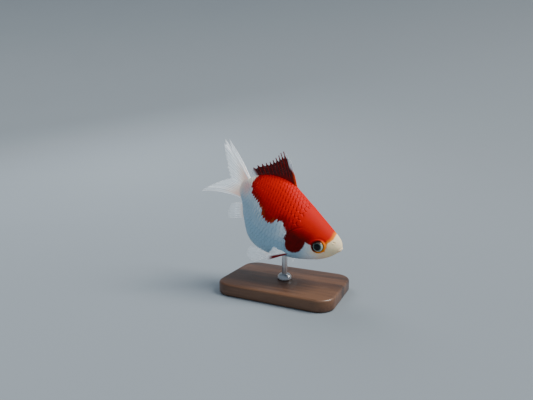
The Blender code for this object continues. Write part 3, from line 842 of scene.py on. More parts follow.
unwrap_body(skin.data)
places = np.stack([grid_s, grid_height, np.sin(grid_turn)], axis=-1).reshape(-1, 3)
places = np.concatenate([places, [(0.0, MOUTH_START, 0.0), (TAIL_END, 0.0, 0.0)]])
store(skin.data, "place", places)
store(skin.data, "behind_head", np.append(behind_head.ravel(), (-1.0, 1.0)), "FLOAT")
store(skin.data, "fleshy", np.append(fin_roots.ravel(), (0.0, 0.0)), "FLOAT")
store(skin.data, "tone", np.full(len(places), 0.5), "FLOAT")
print("the flat map has", len(skin.data.loops), "corners")
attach(skin, BODY)
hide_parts("head", "lower_jaw", "gill_cover_left", "gill_cover_right", "trunk", "tail_base")


# %% [markdown]
# ## Recipes in Geometry Nodes
#
# Scales and fin rays follow rules, so Geometry Nodes make them. A recipe is a node tree with named
# inputs. It is run on a host object, and its result is kept as a plain mesh, because an export drops
# instances and a live tree would be evaluated again and again.

# %% A recipe and how it is run
class Recipe(Graph):
    """A tree of Geometry Nodes with named inputs."""

    def __init__(self, name):
        super().__init__(bpy.data.node_groups.new(name, "GeometryNodeTree"))
        self.tree.interface.new_socket("Geometry", in_out="OUTPUT", socket_type="NodeSocketGeometry")
        self.entry = self.tree.nodes.new("NodeGroupInput")
        self.host = self.input("Geometry", "Geometry")

    def input(self, name, kind):
        self.tree.interface.new_socket(name, in_out="INPUT", socket_type=f"NodeSocket{kind}")
        return Wire(self, self.entry.outputs[name])

    def read(self, name, kind="FLOAT_VECTOR"):
        """The named attribute of whatever geometry this is used on."""
        return self.node("GeometryNodeInputNamedAttribute", {"data_type": kind}, {"Name": name})

    def keep(self, geometry, name, value, kind="FLOAT_VECTOR", domain="POINT"):
        """The geometry with a value kept on it under a name."""
        settings = {"data_type": kind, "domain": domain}
        values = {"Geometry": geometry, "Name": name, "Value": value}
        return self.node("GeometryNodeStoreNamedAttribute", settings, values)

    def end(self, geometry, material):
        """Instances become real, and the material is set."""
        geometry = self.node("GeometryNodeRealizeInstances", None, {0: geometry})
        geometry = self.node("GeometryNodeSetShadeSmooth", None, {0: geometry})
        geometry = self.node("GeometryNodeSetMaterial", None, {"Geometry": geometry, "Material": material})
        exit_node = self.tree.nodes.new("NodeGroupOutput")
        self.put(exit_node.inputs[0], geometry)

    def grow(self, host, name, **values):
        """Run the recipe on the host object, which is then removed, and keep its result as a plain mesh."""
        modifier = host.modifiers.new("recipe", "NODES")
        modifier.node_group = self.tree
        for item in self.tree.interface.items_tree:
            key = item.name.replace(" ", "_").lower()
            if item.in_out == "INPUT" and key in values:
                modifier[item.identifier] = values.pop(key)
        assert not values, f"no such inputs: {values}"
        graph = bpy.context.evaluated_depsgraph_get()
        mesh = bpy.data.meshes.new_from_object(
            host.evaluated_get(graph), preserve_all_data_layers=True, depsgraph=graph
        )
        mesh.name = name
        bpy.data.objects.remove(host)
        piece = bpy.data.objects.new(name, mesh)
        bpy.context.scene.collection.objects.link(piece)
        return piece


# %% [markdown]
# ## One scale
#
# A scale is a thin bony plate, rounded at its free rear edge. Its front half is hidden in the skin and
# under its neighbours. The pattern is a disc of few faces in numbers of its own: x from -1 at the
# root to 1 at the free edge, y across, and z up to 1 at the free edge. It is closed, with a thin rim.

# %% The scale that is repeated
SCALE_STEPS = 15
SCALE_RINGS = (0.60, 1.0)
UNDER_RINGS = (1.0,)
EDGE_FINENESS = 0.40
SCALE_THICKNESS = 0.22
ROOT_SUNK = 0.40
SIDE_DROOP = 0.22


def scale_height(x, y):
    """The plate rises from its sunken root to its free edge, and droops at its sides."""
    return (1 + ROOT_SUNK) * ((x + 1) / 2) ** 0.50 - ROOT_SUNK - SIDE_DROOP * y**2


def scale_disc(rings, lowered):
    """The points and faces of one side of the plate: a middle point and rings round it."""
    angles = np.linspace(0, 2 * math.pi, SCALE_STEPS, endpoint=False)
    angles = angles - EDGE_FINENESS * np.sin(angles)
    flat = [(0.0, 0.0)] + [(r * math.cos(a), r * math.sin(a)) for r in rings for a in angles]
    points = [(x, y, scale_height(x, y) - lowered) for x, y in flat]
    faces = [(0, 1 + i, 1 + (i + 1) % SCALE_STEPS) for i in range(SCALE_STEPS)]
    for band in range(len(rings) - 1):
        near, far = 1 + band * SCALE_STEPS, 1 + (band + 1) * SCALE_STEPS
        for i in range(SCALE_STEPS):
            after = (i + 1) % SCALE_STEPS
            faces.append((near + i, far + i, far + after, near + after))
    return points, faces


def scale_pattern():
    """The upper and the lower side of the plate, joined by its rim."""
    points, faces = scale_disc(SCALE_RINGS, 0.0)
    under_points, under_faces = scale_disc(UNDER_RINGS, SCALE_THICKNESS)
    faces += [tuple(len(points) + v for v in reversed(face)) for face in under_faces]
    rim, points = len(points) - SCALE_STEPS, points + under_points
    under_rim = len(points) - SCALE_STEPS
    for i in range(SCALE_STEPS):
        after = (i + 1) % SCALE_STEPS
        faces.append((rim + i, under_rim + i, under_rim + after, rim + after))
    pattern = new_piece("scale_pattern", points, faces, skin_material)
    store(pattern.data, "local", points)
    return pattern


# %% [markdown]
# ## The coat of scales
#
# Scales stand in rows round the body, each row half a step behind its neighbours, so that every scale
# covers the gap between the two in front of it. About 27 lie along the flank, as on the real fish. A
# simple way would be to set flat plates on the skin, but the large ones would stick out at their
# corners. Here the rows are laid out on the skin's flat map, and each vertex is then sent to the
# place and along the normal that the skin has there, so every scale bends with the body.

# %% The coat's inputs, and how it asks the skin
class Coat(Recipe):
    """The recipe for a coat of scales, and its inputs."""

    def __init__(self):
        super().__init__("coat_of_scales")
        skin_in = self.input("Skin", "Object")
        self.columns, self.rows = self.input("Columns", "Int"), self.input("Rows", "Int")
        self.every, self.chosen = self.input("Every", "Int"), self.input("Chosen", "Int")
        self.first, self.last = self.input("First S", "Float"), self.input("Last S", "Float")
        self.crowding = self.input("Crowding", "Float")
        self.length, self.width = self.input("Length", "Float"), self.input("Width", "Float")
        self.rise, self.seed = self.input("Rise", "Float"), self.input("Seed", "Int")
        self.material = self.input("Material", "Material")
        self.body = self.node("GeometryNodeObjectInfo", None, {"Object": skin_in}, "Geometry")

    def on_skin(self, value, s, lap, kind="FLOAT_VECTOR"):
        """What the skin has at a place of its flat map."""
        flat = self.vector(s / TAIL_END, lap - lap.math("FLOOR"), 0.0)
        values = {"Mesh": self.body, "Value": value, "UV Map": self.read("unwrap"), "Sample UV": flat}
        return self.node("GeometryNodeSampleUVSurface", {"data_type": kind}, values)

    def kept_on_skin(self, name, s, lap, kind="FLOAT"):
        """A value that the skin keeps under a name, at a place of its flat map."""
        return self.on_skin(self.read(name, kind), s, lap, kind)


# %% [markdown]
# The points of a grid are read as columns along the fish and rows round it. Crowding draws the last
# columns together, because scales get smaller towards the tail. A point is dropped where the skin is
# bare: on the head, on the fins' swollen roots, and behind a bowed line at the root of the tail. The
# first scales behind the head are smaller and flatter, so that they tuck in under its edge. "every" and
# "chosen" can leave out whole rows.

# %% Rows of roots
HEAD_CLEARANCE = 0.003
FIN_ROOT_SWELL = 0.27
TAIL_BOW = 0.03
TAIL_BOW_HEIGHT = 0.1
FIRST_SIZE = 0.62
FIRST_RELIEF = 0.50
SIZE_BLEND = 0.10
RELIEF_BLEND = 0.18


def rows_of_roots(coat):
    """A point for each scale, which keeps its place on the map, the step to the next, and its size."""
    grid = coat.node("GeometryNodeMeshGrid", None, {0: 1.0, 1: 1.0, 2: coat.columns, 3: coat.rows})
    x, y, _ = coat.parts(coat.node("GeometryNodeInputPosition"))
    column = ((x + 0.5) * (coat.columns - 1)).math("ROUND")
    row = ((y + 0.5) * (coat.rows - 1)).math("ROUND")
    share = (column + 0.5 * row.math("MODULO", 2.0) + 0.25) / coat.columns
    s = coat.first + (coat.last - coat.first) * (1 - (1 - share) ** coat.crowding)
    crowded = coat.crowding * (1 - share) ** (coat.crowding - 1)
    step_s = (coat.last - coat.first) / coat.columns * crowded
    lap = (row + 0.5) / coat.rows

    clear = coat.kept_on_skin("behind_head", s, lap)
    height = coat.parts(coat.kept_on_skin("place", s, lap, "FLOAT_VECTOR"))[1]
    bow = ((height / TAIL_BOW_HEIGHT) ** 2).math("MINIMUM", 1.0)
    on_head = clear.math("LESS_THAN", HEAD_CLEARANCE)
    on_tail = s.math("GREATER_THAN", coat.last - TAIL_BOW * bow)
    on_fin_root = coat.kept_on_skin("fleshy", s, lap).math("GREATER_THAN", FIN_ROOT_SWELL)
    other_row = (row.math("MODULO", coat.every) - coat.chosen).math("ABSOLUTE").math("GREATER_THAN", 0.5)
    kept = {
        "size": FIRST_SIZE + (1 - FIRST_SIZE) * clear.step(0.0, SIZE_BLEND),
        "relief": FIRST_RELIEF + (1 - FIRST_RELIEF) * clear.step(0.0, RELIEF_BLEND),
        "tone": coat.node("FunctionNodeRandomValue", {"data_type": "FLOAT"}, {"Seed": coat.seed}, 1),
        "bare": on_head + on_tail + on_fin_root + other_row,
    }
    points = coat.keep(grid, "root", coat.vector(s, lap, step_s))
    for name, value in kept.items():
        points = coat.keep(points, name, value, "FLOAT")
    bare = coat.read("bare", "FLOAT").math("GREATER_THAN", 0.5)
    return coat.node("GeometryNodeDeleteGeometry", None, {"Geometry": points, "Selection": bare})


# %% [markdown]
# A copy of the pattern stands on every root. Its own x, y and height say how far each vertex goes along,
# round and off the skin. Down the lap is to the right of along, so y is turned round, or the plates
# would be inside out. Each vertex takes its marking half from where it lies and half from the middle of
# its scale, so that the red ends in whole scales, as it does on a fish.

# %% Bending each scale to the skin
HEAD_MARGIN = 0.0045
SHARED_MARKING = 0.5
SCALE_MIDDLE = 0.4


def bend_to_skin(coat, scales):
    """Each vertex at its own place of the skin, with its marking and how near the free edge it is."""
    root_s, root_lap, step_s = coat.parts(coat.read("root"))
    own_x, own_y, own_z = coat.parts(coat.read("local"))
    size, relief = coat.read("size", "FLOAT"), coat.read("relief", "FLOAT")
    s = root_s + own_x * step_s * coat.length * size
    lap = root_lap - own_y * coat.width * size / coat.rows
    s = s + (HEAD_MARGIN - coat.kept_on_skin("behind_head", s, lap)).math("MAXIMUM", 0.0)
    spot = coat.on_skin(coat.node("GeometryNodeInputPosition"), s, lap)
    normal = coat.on_skin(coat.node("GeometryNodeInputNormal"), s, lap)
    here = coat.kept_on_skin("place", s, lap, "FLOAT_VECTOR")
    middle = coat.kept_on_skin("place", root_s + SCALE_MIDDLE * step_s, root_lap, "FLOAT_VECTOR")
    scales = coat.keep(scales, "place_here", here)
    scales = coat.keep(scales, "place_middle", middle)

    values = {0: normal, "Scale": own_z * coat.rise * relief}
    raised = coat.node("ShaderNodeVectorMath", {"operation": "SCALE"}, values)
    spot = coat.node("ShaderNodeVectorMath", {"operation": "ADD"}, {0: spot, 1: raised})
    scales = coat.node("GeometryNodeSetPosition", None, {"Geometry": scales, "Position": spot})
    values = {0: SHARED_MARKING, 4: coat.read("place_here"), 5: coat.read("place_middle")}
    scales = coat.keep(scales, "place", coat.node("ShaderNodeMix", {"data_type": "VECTOR"}, values, 1))
    return coat.keep(scales, "free_edge", own_x, "FLOAT")


# %% [markdown]
# When the colours are baked for export, every scale needs a spot of its own. It gets a small patch of
# the map named OFBake, at its root's place on the skin's flat map.

# %% A patch of the baked map, and the whole coat
COLUMNS = 27
ROWS = 34
FIRST_S = 0.300
LAST_S = 1.008
CROWDING = 1.18
SCALE_LENGTH = 1.00
SCALE_WIDTH = 0.84
COAT_SEED = 4
BAKE_PATCH = 0.0015
BAKE_MARGIN = 0.02


def patch_in_map(coat, scales):
    """Each scale's patch of the map that is baked."""
    root_s, root_lap, _ = coat.parts(coat.read("root"))
    own_x, own_y, _ = coat.parts(coat.read("local"))
    room = 1 - 2 * BAKE_MARGIN
    bake_x = root_s / TAIL_END * room + BAKE_MARGIN + own_x * BAKE_PATCH
    bake_y = root_lap * room + BAKE_MARGIN - own_y * BAKE_PATCH
    return coat.keep(scales, "OFBake", coat.vector(bake_x, bake_y, 0.0), "FLOAT2", "CORNER")


def coat_recipe():
    """Roots, a copy of the pattern on each, and then the bending and the map."""
    coat = Coat()
    roots = {"Points": rows_of_roots(coat), "Instance": coat.host}
    scales = coat.node("GeometryNodeInstanceOnPoints", None, roots)
    scales = coat.node("GeometryNodeRealizeInstances", None, {0: scales})
    coat.end(patch_in_map(coat, bend_to_skin(coat, scales)), coat.material)
    return coat


coat = coat_recipe()


def grow_coat(pattern, name, **values):
    """The recipe run on one pattern, as a piece of the coat."""
    piece = coat.grow(
        pattern, name, skin=skin, columns=COLUMNS, rows=ROWS, first_s=FIRST_S, last_s=LAST_S,
        crowding=CROWDING, length=SCALE_LENGTH, width=SCALE_WIDTH, rise=COAT_DEPTH, seed=COAT_SEED,
        material=skin_material, **values,
    )
    for spare in ("place_here", "place_middle", "bare", "root", "size", "relief", "local"):
        piece.data.attributes.remove(piece.data.attributes[spare])
    print(name, len(piece.data.polygons), "faces")
    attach(piece, BODY)
    return piece


scales = grow_coat(scale_pattern(), "scales", every=1, chosen=0)

# %% [markdown]
# ## The lateral line
#
# A row of scales along the middle of each flank carries a fine canal, with which the fish feels the
# water move. On each of them it shows as a short raised tube, open at its rear. The same recipe places
# the tubes, with a little tube as its pattern and only one row in seventeen chosen.

# %% The lateral line
CANAL_STEPS = 8
CANAL_FROM_TO = (-0.05, 0.74)
CANAL_HALF_WIDTH = 0.085
CANAL_HEIGHT = 0.42
CANAL_RINGS = ((0.0, 0.30), (0.12, 0.75), (0.5, 0.9), (0.85, 1.0), (1.0, 0.7), (0.90, 0.25))
CANAL_FOOT = -0.6
SIDE_ROW = 8


def canal_pattern():
    """A tube of rings, given by how far along they are and how wide, which turns back in at its mouth."""
    rings = []
    for share, swell in CANAL_RINGS:
        x = CANAL_FROM_TO[0] + (CANAL_FROM_TO[1] - CANAL_FROM_TO[0]) * share
        rings.append([(x, CANAL_HALF_WIDTH * swell * math.cos(a),
                       scale_height(x, 0) + CANAL_HEIGHT * swell * max(math.sin(a), CANAL_FOOT))
                      for a in np.linspace(0, 2 * math.pi, CANAL_STEPS, endpoint=False)])
    points = [point for ring in rings for point in ring]
    faces = [tuple(range(CANAL_STEPS)), tuple(range(len(points) - CANAL_STEPS, len(points)))]
    for band in range(len(rings) - 1):
        for i in range(CANAL_STEPS):
            near, after = band * CANAL_STEPS, (i + 1) % CANAL_STEPS
            faces.append((near + i, near + CANAL_STEPS + i, near + CANAL_STEPS + after, near + after))
    pattern = new_piece("canal_pattern", points, faces, skin_material)
    store(pattern.data, "local", points)
    return pattern


lateral_line = grow_coat(canal_pattern(), "lateral_line", every=ROWS // 2, chosen=SIDE_ROW)

# %% [markdown]
# ## Fins
#
# A goldfish's fin is a fan of jointed bony rays with a thin clear web between them. Each ray forks
# once or twice on its way out, and the web is cut back between the tips. A fin could be one bumpy
# sheet, but rays of their own catch the light and stay solid where the web is clear. The fan below
# is the same formula that shapes the solid fin: a root line, a length and an angle for each ray, then
# a little droop, splay and ripple.

# %% The fan
FOLDS_ACROSS = 9.0
FOLDS_OUT = 5.0


def fan(root, heading, rise, side, length, angle, droop=0.0, splay=0.0, ripple=0.0, waves=2.0, folds=0.0):
    """A fin's surface, as points for ray t at r, where r is 0 at its root and 1 at its tip.

    A ray leaves its root at an angle in degrees from heading towards rise. It bends back by droop and
    leans towards side by splay. The fin's edge waves by ripple, and the web by folds."""
    heading, rise, side = (np.array(v, float) for v in (heading, rise, side))

    def at(value, t):
        return value(t) if callable(value) else value

    def surface(t, r):
        t, r = np.broadcast_arrays(np.asarray(t, float), np.asarray(r, float))
        turn = np.radians(angle(t) - at(droop, t) * r / 2)[..., None]
        flat = heading * np.cos(turn) + rise * np.sin(turn)
        flat /= np.linalg.norm(flat, axis=-1, keepdims=True)
        lean = np.radians(at(splay, t) + 0 * t)[..., None]
        direction = flat * np.cos(lean) + side * np.sin(lean)
        wave = ripple * r**1.5 * np.sin(2 * math.pi * waves * t)
        turns_of_folds = FOLDS_ACROSS * t + FOLDS_OUT * r + 3 * math.pi * waves * t
        wave = wave + folds * r**1.3 * np.sin(turns_of_folds)
        return root(t) + BODY_LENGTH * (direction * (length(t) * r)[..., None] + side * wave[..., None])

    return surface


# %% [markdown]
# The web is a thin closed sheet, thick where it leaves the flesh. Between two rays it is cut back by
# the notch and hollowed a little. "out" and "ray" are kept on it for the materials: how far out a
# point is, and whether it is on a ray.

# %% The web of a fin
WEB_STEPS = 6
WEB_ROWS = 26
WEB_THICKNESS = 0.00009
ROOT_THICKNESS = 0.00075
ROOT_TAPER = 0.22
NOTCH_ROUNDNESS = 0.8
WEB_HOLLOW = 0.00008


def sheet_faces(columns, rows):
    """Both faces of a thin sheet of points, and the rim between them."""
    def at(i, k):
        return i * rows + k

    far, faces = columns * rows, []
    for i in range(columns - 1):
        for k in range(rows - 1):
            loop = (at(i, k), at(i + 1, k), at(i + 1, k + 1), at(i, k + 1))
            faces += [loop, tuple(far + v for v in reversed(loop))]
    rim = [at(i, 0) for i in range(columns)] + [at(columns - 1, k) for k in range(1, rows)]
    rim += [at(i, rows - 1) for i in reversed(range(columns - 1))]
    rim += [at(0, k) for k in reversed(range(1, rows - 1))]
    return faces + [(b, a, far + a, far + b) for a, b in zip(rim, rim[1:] + rim[:1])]


def fin_web(name, surface, rays, notch, material):
    """The closed sheet between the rays, cut back by the notch at its edge."""
    columns = (rays - 1) * WEB_STEPS + 1
    t, r = np.meshgrid(np.linspace(0, 1, columns), np.linspace(0, 1, WEB_ROWS), indexing="ij")
    between = np.abs(np.sin(math.pi * (rays - 1) * t))
    r = r * (1 - notch * between**NOTCH_ROUNDNESS)
    points = surface(t, r)
    normal = np.cross(np.gradient(points, axis=0), np.gradient(points, axis=1))
    normal /= np.linalg.norm(normal, axis=-1, keepdims=True)
    thickness = WEB_THICKNESS + (ROOT_THICKNESS - WEB_THICKNESS) * bulge(r, ROOT_TAPER)
    half = (thickness / 2)[..., None]
    hollow = normal * (between * r * WEB_HOLLOW)[..., None]
    both = np.concatenate([(points + hollow + side * normal * half).reshape(-1, 3) for side in (1, -1)])
    web = new_piece(name, place(both), sheet_faces(columns, WEB_ROWS), material)
    store(web.data, "out", np.tile(r.ravel(), 2), "FLOAT")
    store(web.data, "across", np.tile(t.ravel(), 2), "FLOAT")
    return web


# %% [markdown]
# ## Fin rays
#
# On the real fin each ray is a jointed rod that forks on its way out. Here it is drawn as lines with a
# thickness: a stem, two branches from the first fork, and four from the second.

# %% The lines of the rays
FORKS = (0.0, 0.42, 0.74)
FORK_SPREAD = (0.20, 0.11)
FORK_BEND = 0.30
FORK_THINNING = 0.84
LINE_POINTS = 9
RAY_ROOT = 0.00021
RAY_TIP = 0.00005


def ray_lines(surface, rays, thick, spread):
    """The lines of every ray as (points, thickness, t, r). Its forks spread by a share of the usual."""
    lines = []
    gap = 1 / (rays - 1)
    for ray in range(rays):
        stem = [(ray * gap, 0.0)]
        for level, start in enumerate(FORKS):
            end = (FORKS[1:] + (1.0,))[level]
            r = np.linspace(start, end, LINE_POINTS)
            grown = []
            for at_start, shift in stem:
                middle = at_start + shift * step(r, start, start + FORK_BEND) * (level > 0)
                middle = np.clip(middle, 0, 1)
                size = thick * (RAY_ROOT + (RAY_TIP - RAY_ROOT) * r**0.7) * FORK_THINNING**level
                lines.append((surface(middle, r), size, middle, r))
                if level < len(FORK_SPREAD):
                    off = FORK_SPREAD[level] * gap * spread
                    grown += [(middle[-1], -off), (middle[-1], off)]
            stem = grown
    return lines


def ray_guide(name, lines):
    """All the lines as one mesh of edges."""
    counts = np.cumsum([0] + [len(line[0]) for line in lines])
    edges = [(i, i + 1) for a, b in zip(counts, counts[1:]) for i in range(a, b - 1)]
    points, thick, t, r = (np.concatenate(part) for part in zip(*lines))
    mesh = bpy.data.meshes.new(name)
    mesh.from_pydata(place(points).tolist(), edges, [])
    store(mesh, "thick", thick, "FLOAT")
    store(mesh, "across", t, "FLOAT")
    store(mesh, "out", r, "FLOAT")
    guide = bpy.data.objects.new(name, mesh)
    bpy.context.scene.collection.objects.link(guide)
    return guide


# %% [markdown]
# The recipe turns every line into a tapering tube with closed ends and joins the web to it. A bevelled
# curve would make round tubes too, but here one tree does it for all eleven fins, and it marks what is
# ray and what is web for the finish.

# %% The recipe for a fin
TUBE_SIDES = 6


def fin_recipe():
    """Tubes along the lines, joined to the web."""
    recipe = Recipe("fin_rays")
    web_in, sides = recipe.input("Web", "Object"), recipe.input("Sides", "Int")
    material = recipe.input("Material", "Material")
    lines = recipe.node("GeometryNodeMeshToCurve", None, {0: recipe.host})
    profile = recipe.node("GeometryNodeCurvePrimitiveCircle", None, {"Resolution": sides, "Radius": 1.0})
    thick = recipe.read("thick", "FLOAT")
    values = {"Curve": lines, "Profile Curve": profile, "Scale": thick, "Fill Caps": True}
    tubes = recipe.node("GeometryNodeCurveToMesh", None, values)
    tubes = recipe.keep(tubes, "ray", 1.0, "FLOAT")
    web = recipe.node("GeometryNodeObjectInfo", None, {"Object": web_in}, "Geometry")
    web = recipe.keep(web, "ray", 0.0, "FLOAT")
    both = recipe.tree.nodes.new("GeometryNodeJoinGeometry")
    recipe.put(both.inputs[0], tubes)
    recipe.put(both.inputs[0], web)
    recipe.end(Wire(recipe, both.outputs[0]), material)
    return recipe


fins = fin_recipe()


def make_fin(node, surface, rays, notch, material, thick=1.0, spread=1.0):
    """One whole fin, which stands for its solid."""
    web = fin_web(f"{node}_web", surface, rays, notch, material)
    guide = ray_guide(f"{node}_lines", ray_lines(surface, rays, thick, spread))
    piece = fins.grow(guide, f"{node}_fine", web=web, sides=TUBE_SIDES, material=material)
    bpy.data.objects.remove(web)
    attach(piece, BODY)
    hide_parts(node)
    print(piece.name, len(piece.data.polygons), "faces")
    return piece


# %% [markdown]
# ## The finish of the fins
#
# The rays are bone and hide what is behind them. The web is clear, more so towards its edge. On the
# dorsal fin both are stained a deep red like the back, all but the tips of the first rays. On the rest
# the flesh runs cream and rose a little way out over the root. One function makes all four finishes, and
# a short stain function says where a fin differs.

# %% The finish of a fin
WEB_WHITE = (0.84, 0.90, 0.94)
RAY_WHITE = (0.92, 0.95, 0.97)
ROOT_ROSE = (0.92, 0.80, 0.73)
ROOT_CREAM = (0.98, 0.79, 0.66)
ROOT_PINK = (0.98, 0.62, 0.52)
DORSAL_WEB = (0.085, 0.002, 0.003)
DORSAL_RAY = (0.30, 0.010, 0.006)
DORSAL_ROOT = (0.30, 0.003, 0.002)
LEADING_RED = (0.15, 0.003, 0.006)
LIT_EDGE_ORANGE = (0.85, 0.075, 0.012)
BLACK = (0.0, 0.0, 0.0)
TAIL_GLOW = 0.36
CLEAR_GLOW = 0.24
WEB_GLOW = 0.62
JOINTS = 40.0
RAY_RELIEF = 0.00003


def fin_finish(name, web, bone, root, root_reach, web_alpha, ray_alpha, stain=None, glow=CLEAR_GLOW):
    """A web and its rays, which clear from the root outwards.

    stain gives (share, colour, solidity) from the fin's out and across, for a part that differs. glow
    stands for the daylight that comes through such thin skin from behind."""
    finish = Finish(name)
    out, ray = finish.attribute("out"), finish.attribute("ray")
    across = finish.attribute("across")
    cloud = finish.noise(500, 2)
    near_root = out.step(root_reach, 0.02)
    tint = finish.mix(ray, web, bone)
    tint = finish.mix(near_root, tint, root)
    clear = web_alpha + (1 - web_alpha) * near_root + (cloud - 0.5) * 0.15
    solid = ray_alpha + (1 - ray_alpha) * out.step(0.70, 0.25) - out.step(0.75, 1.0) * 0.25
    alpha = clear * (1 - ray) + solid * ray
    for share, colour, solidity in stain(out, across) if stain else ():
        tint = finish.mix(share, tint, colour)
        alpha = alpha + (solidity - alpha) * share
    alpha = alpha.math("MAXIMUM", 0.05).math("MINIMUM", 1.0)
    joints = ((out * JOINTS).math("FRACT") - 0.5).math("ABSOLUTE").step(0.42, 0.50)
    normal = finish.bump(cloud * 0.5 + joints * ray, RAY_RELIEF)
    finish.shine(Specular_IOR_Level=0.15, Emission_Strength=glow)
    if glow:
        finish.shine(Emission_Color=finish.mix(WEB_GLOW + (1 - WEB_GLOW) * ray, BLACK, tint))
    return finish.shine(Base_Color=tint, Roughness=0.42 + cloud * 0.12, Alpha=alpha, Normal=normal)


# %% [markdown]
# The four finishes differ in colour, in how far the flesh reaches out, and in how solid web and rays are.
# "across" counts from a fin's first ray to its last.

# %% Clear fins, red-edged fin, tail and red dorsal fin
def dorsal_stain(out, across):
    """A front edge painted bright orange as a highlight on its red, white tips on the first two rays, and
    clear last rays.
    """
    # The front edge is painted bright orange: a painted highlight over the fin's own red.
    front, second = across.step(0.075, 0.03), across.step(0.13, 0.10)
    return (
        (front * out.step(0.02, 0.10), LIT_EDGE_ORANGE, 1.0),
        (second * out.step(0.50, 0.66), RAY_WHITE, 0.92),
        (across.step(0.90, 0.98), WEB_WHITE, 0.5),
    )


def tail_stain(out, across):
    """A stouter, whiter leading edge, with pink flesh at its foot."""
    return (
        (out.step(0.34, 0.04) * across.step(0.75, 0.15) * 0.8, ROOT_PINK, 0.97),
        (across.step(0.13, 0.03) * out.step(1.0, 0.80), RAY_WHITE, 0.95),
    )


def pectoral_stain(out, across):
    """A red leading ray."""
    return ((across.step(0.30, 0.16) * out.step(1.0, 0.72), LEADING_RED, 0.95),)


clear_fin = fin_finish(
    "clear_fin", WEB_WHITE, RAY_WHITE, ROOT_ROSE, root_reach=0.45, web_alpha=0.32, ray_alpha=0.85
)
red_edged_fin = fin_finish(
    "red_edged_fin", WEB_WHITE, RAY_WHITE, WEB_WHITE, root_reach=0.40, web_alpha=0.36, ray_alpha=0.70,
    stain=pectoral_stain,
)
tail_fin = fin_finish(
    "tail_fin", WEB_WHITE, RAY_WHITE, ROOT_CREAM, root_reach=0.66, web_alpha=0.54, ray_alpha=0.95,
    stain=tail_stain, glow=TAIL_GLOW,
)
red_fin = fin_finish(
    "red_fin", DORSAL_WEB, DORSAL_RAY, DORSAL_ROOT, root_reach=0.35, web_alpha=0.90, ray_alpha=1.0,
    stain=dorsal_stain, glow=0.0,
)
fin_finishes = (clear_fin, red_edged_fin, tail_fin, red_fin)
print("fin finishes:", [len(finish.node_tree.nodes) for finish in fin_finishes], "nodes")

# %% [markdown]
# ## The dorsal fin
#
# One long fin keeps the fish upright. Its first rays are the longest, and it falls away towards the tail.
# Lengths and angles of its rays are smooth curves through a few values, and its root follows the back,
# sunk a little so that no gap shows.

# %% The dorsal fin
DORSAL_SINK = 0.020
DORSAL_LENGTHS = ((0.0, 0.265), (0.07, 0.300), (0.16, 0.305), (0.4, 0.210), (0.6, 0.150), (0.83, 0.118),
                  (1.0, 0.090))
DORSAL_ANGLES = ((0.0, 51), (0.14, 49), (0.4, 49), (0.6, 44), (0.83, 38), (1.0, 28))


def dorsal_root(t):
    s = DORSAL_ROOT_S[0] + (DORSAL_ROOT_S[1] - DORSAL_ROOT_S[0]) * t
    height = (smooth_curve(BACK, s) - DORSAL_SINK) * BODY_LENGTH
    return np.stack([along(s), 0 * s, height], axis=-1)


dorsal = fan(
    dorsal_root, (-1, 0, 0), (0, 0, 1), (0, 1, 0),
    length=lambda t: smooth_curve(DORSAL_LENGTHS, t), angle=lambda t: smooth_curve(DORSAL_ANGLES, t),
    droop=6, ripple=0.010, folds=0.003,
)
make_fin("dorsal_fin", dorsal, 13, 0.20, red_fin, thick=1.35, spread=0.45)

# %% [markdown]
# ## The double tail
#
# A fancy goldfish has two tails side by side, each with an upper and a lower lobe. "share" counts from
# the tail's top edge to its bottom edge. The rays are longest at both edges and shortest in the fork.

# %% The tail fins
SIDES = (("left", 1), ("right", -1))
TAIL_ROOT_HEIGHTS = (0.090, -0.100)
TAIL_HALF_GAP = 0.0007
TAIL_FORK = 0.150
TAIL_FORK_AT = 0.47
TAIL_FORK_GAP = 0.012
TAIL_TIPS = (0.410, 0.365)


def half_tail(sign, first, last):
    """The fan from one share to another, of the half on one side."""
    def share(t):
        return first + (last - first) * t

    def root(t):
        h = share(t)
        height = TAIL_ROOT_HEIGHTS[0] + (TAIL_ROOT_HEIGHTS[1] - TAIL_ROOT_HEIGHTS[0]) * h
        off = sign * (TAIL_HALF_GAP + 0.004 * BODY_LENGTH * h)
        return np.stack([along(1.0) + 0 * h, off, height * BODY_LENGTH], axis=-1)

    def length(t):
        upper = share(t) < TAIL_FORK_AT
        reach = np.where(upper, TAIL_FORK_AT, 1 - TAIL_FORK_AT)
        tip = np.where(upper, *TAIL_TIPS)
        return TAIL_FORK + (tip - TAIL_FORK) * (np.abs(share(t) - TAIL_FORK_AT) / reach) ** 1.15

    return fan(
        root, (-1, 0, 0), (0, 0, 1), (0, sign, 0), length,
        angle=lambda t: 35 - 41 * share(t), droop=lambda t: 12 + 16 * share(t),
        splay=lambda t: 4 + 11 * share(t), ripple=0.008, waves=1.5, folds=0.006,
    )


for side, sign in SIDES:
    upper = half_tail(sign, 0.0, TAIL_FORK_AT - TAIL_FORK_GAP)
    lower = half_tail(sign, 1.0, TAIL_FORK_AT + TAIL_FORK_GAP)
    make_fin(f"tail_fin_{side}_upper", upper, 10, 0.06, tail_fin, thick=1.3)
    make_fin(f"tail_fin_{side}_lower", lower, 10, 0.06, tail_fin, thick=1.3)

# %% [markdown]
# ## The paired fins
#
# The pectoral fins steer and the pelvic fins hold the fish steady, and a fancy goldfish has two anal fins
# as well. Each pair is one function of the side, 1 for the left and -1 for the right. The right pectoral
# fin has a red leading ray and is held back along the body, while the left one hangs down.

# %% The paired fins
PECTORAL_LOWERED = {"right": 0, "left": 50}
FIN_SINK = 0.0012


def side_root(sign, root):
    """A fin's root line on the body's side or belly, sunk into the flesh."""
    (s_a, s_b), (turn_a, turn_b) = root

    def line(t):
        turn = np.radians(turn_a + (turn_b - turn_a) * t)
        return body_point(s_a + (s_b - s_a) * t, sign * turn, -FIN_SINK)

    return line


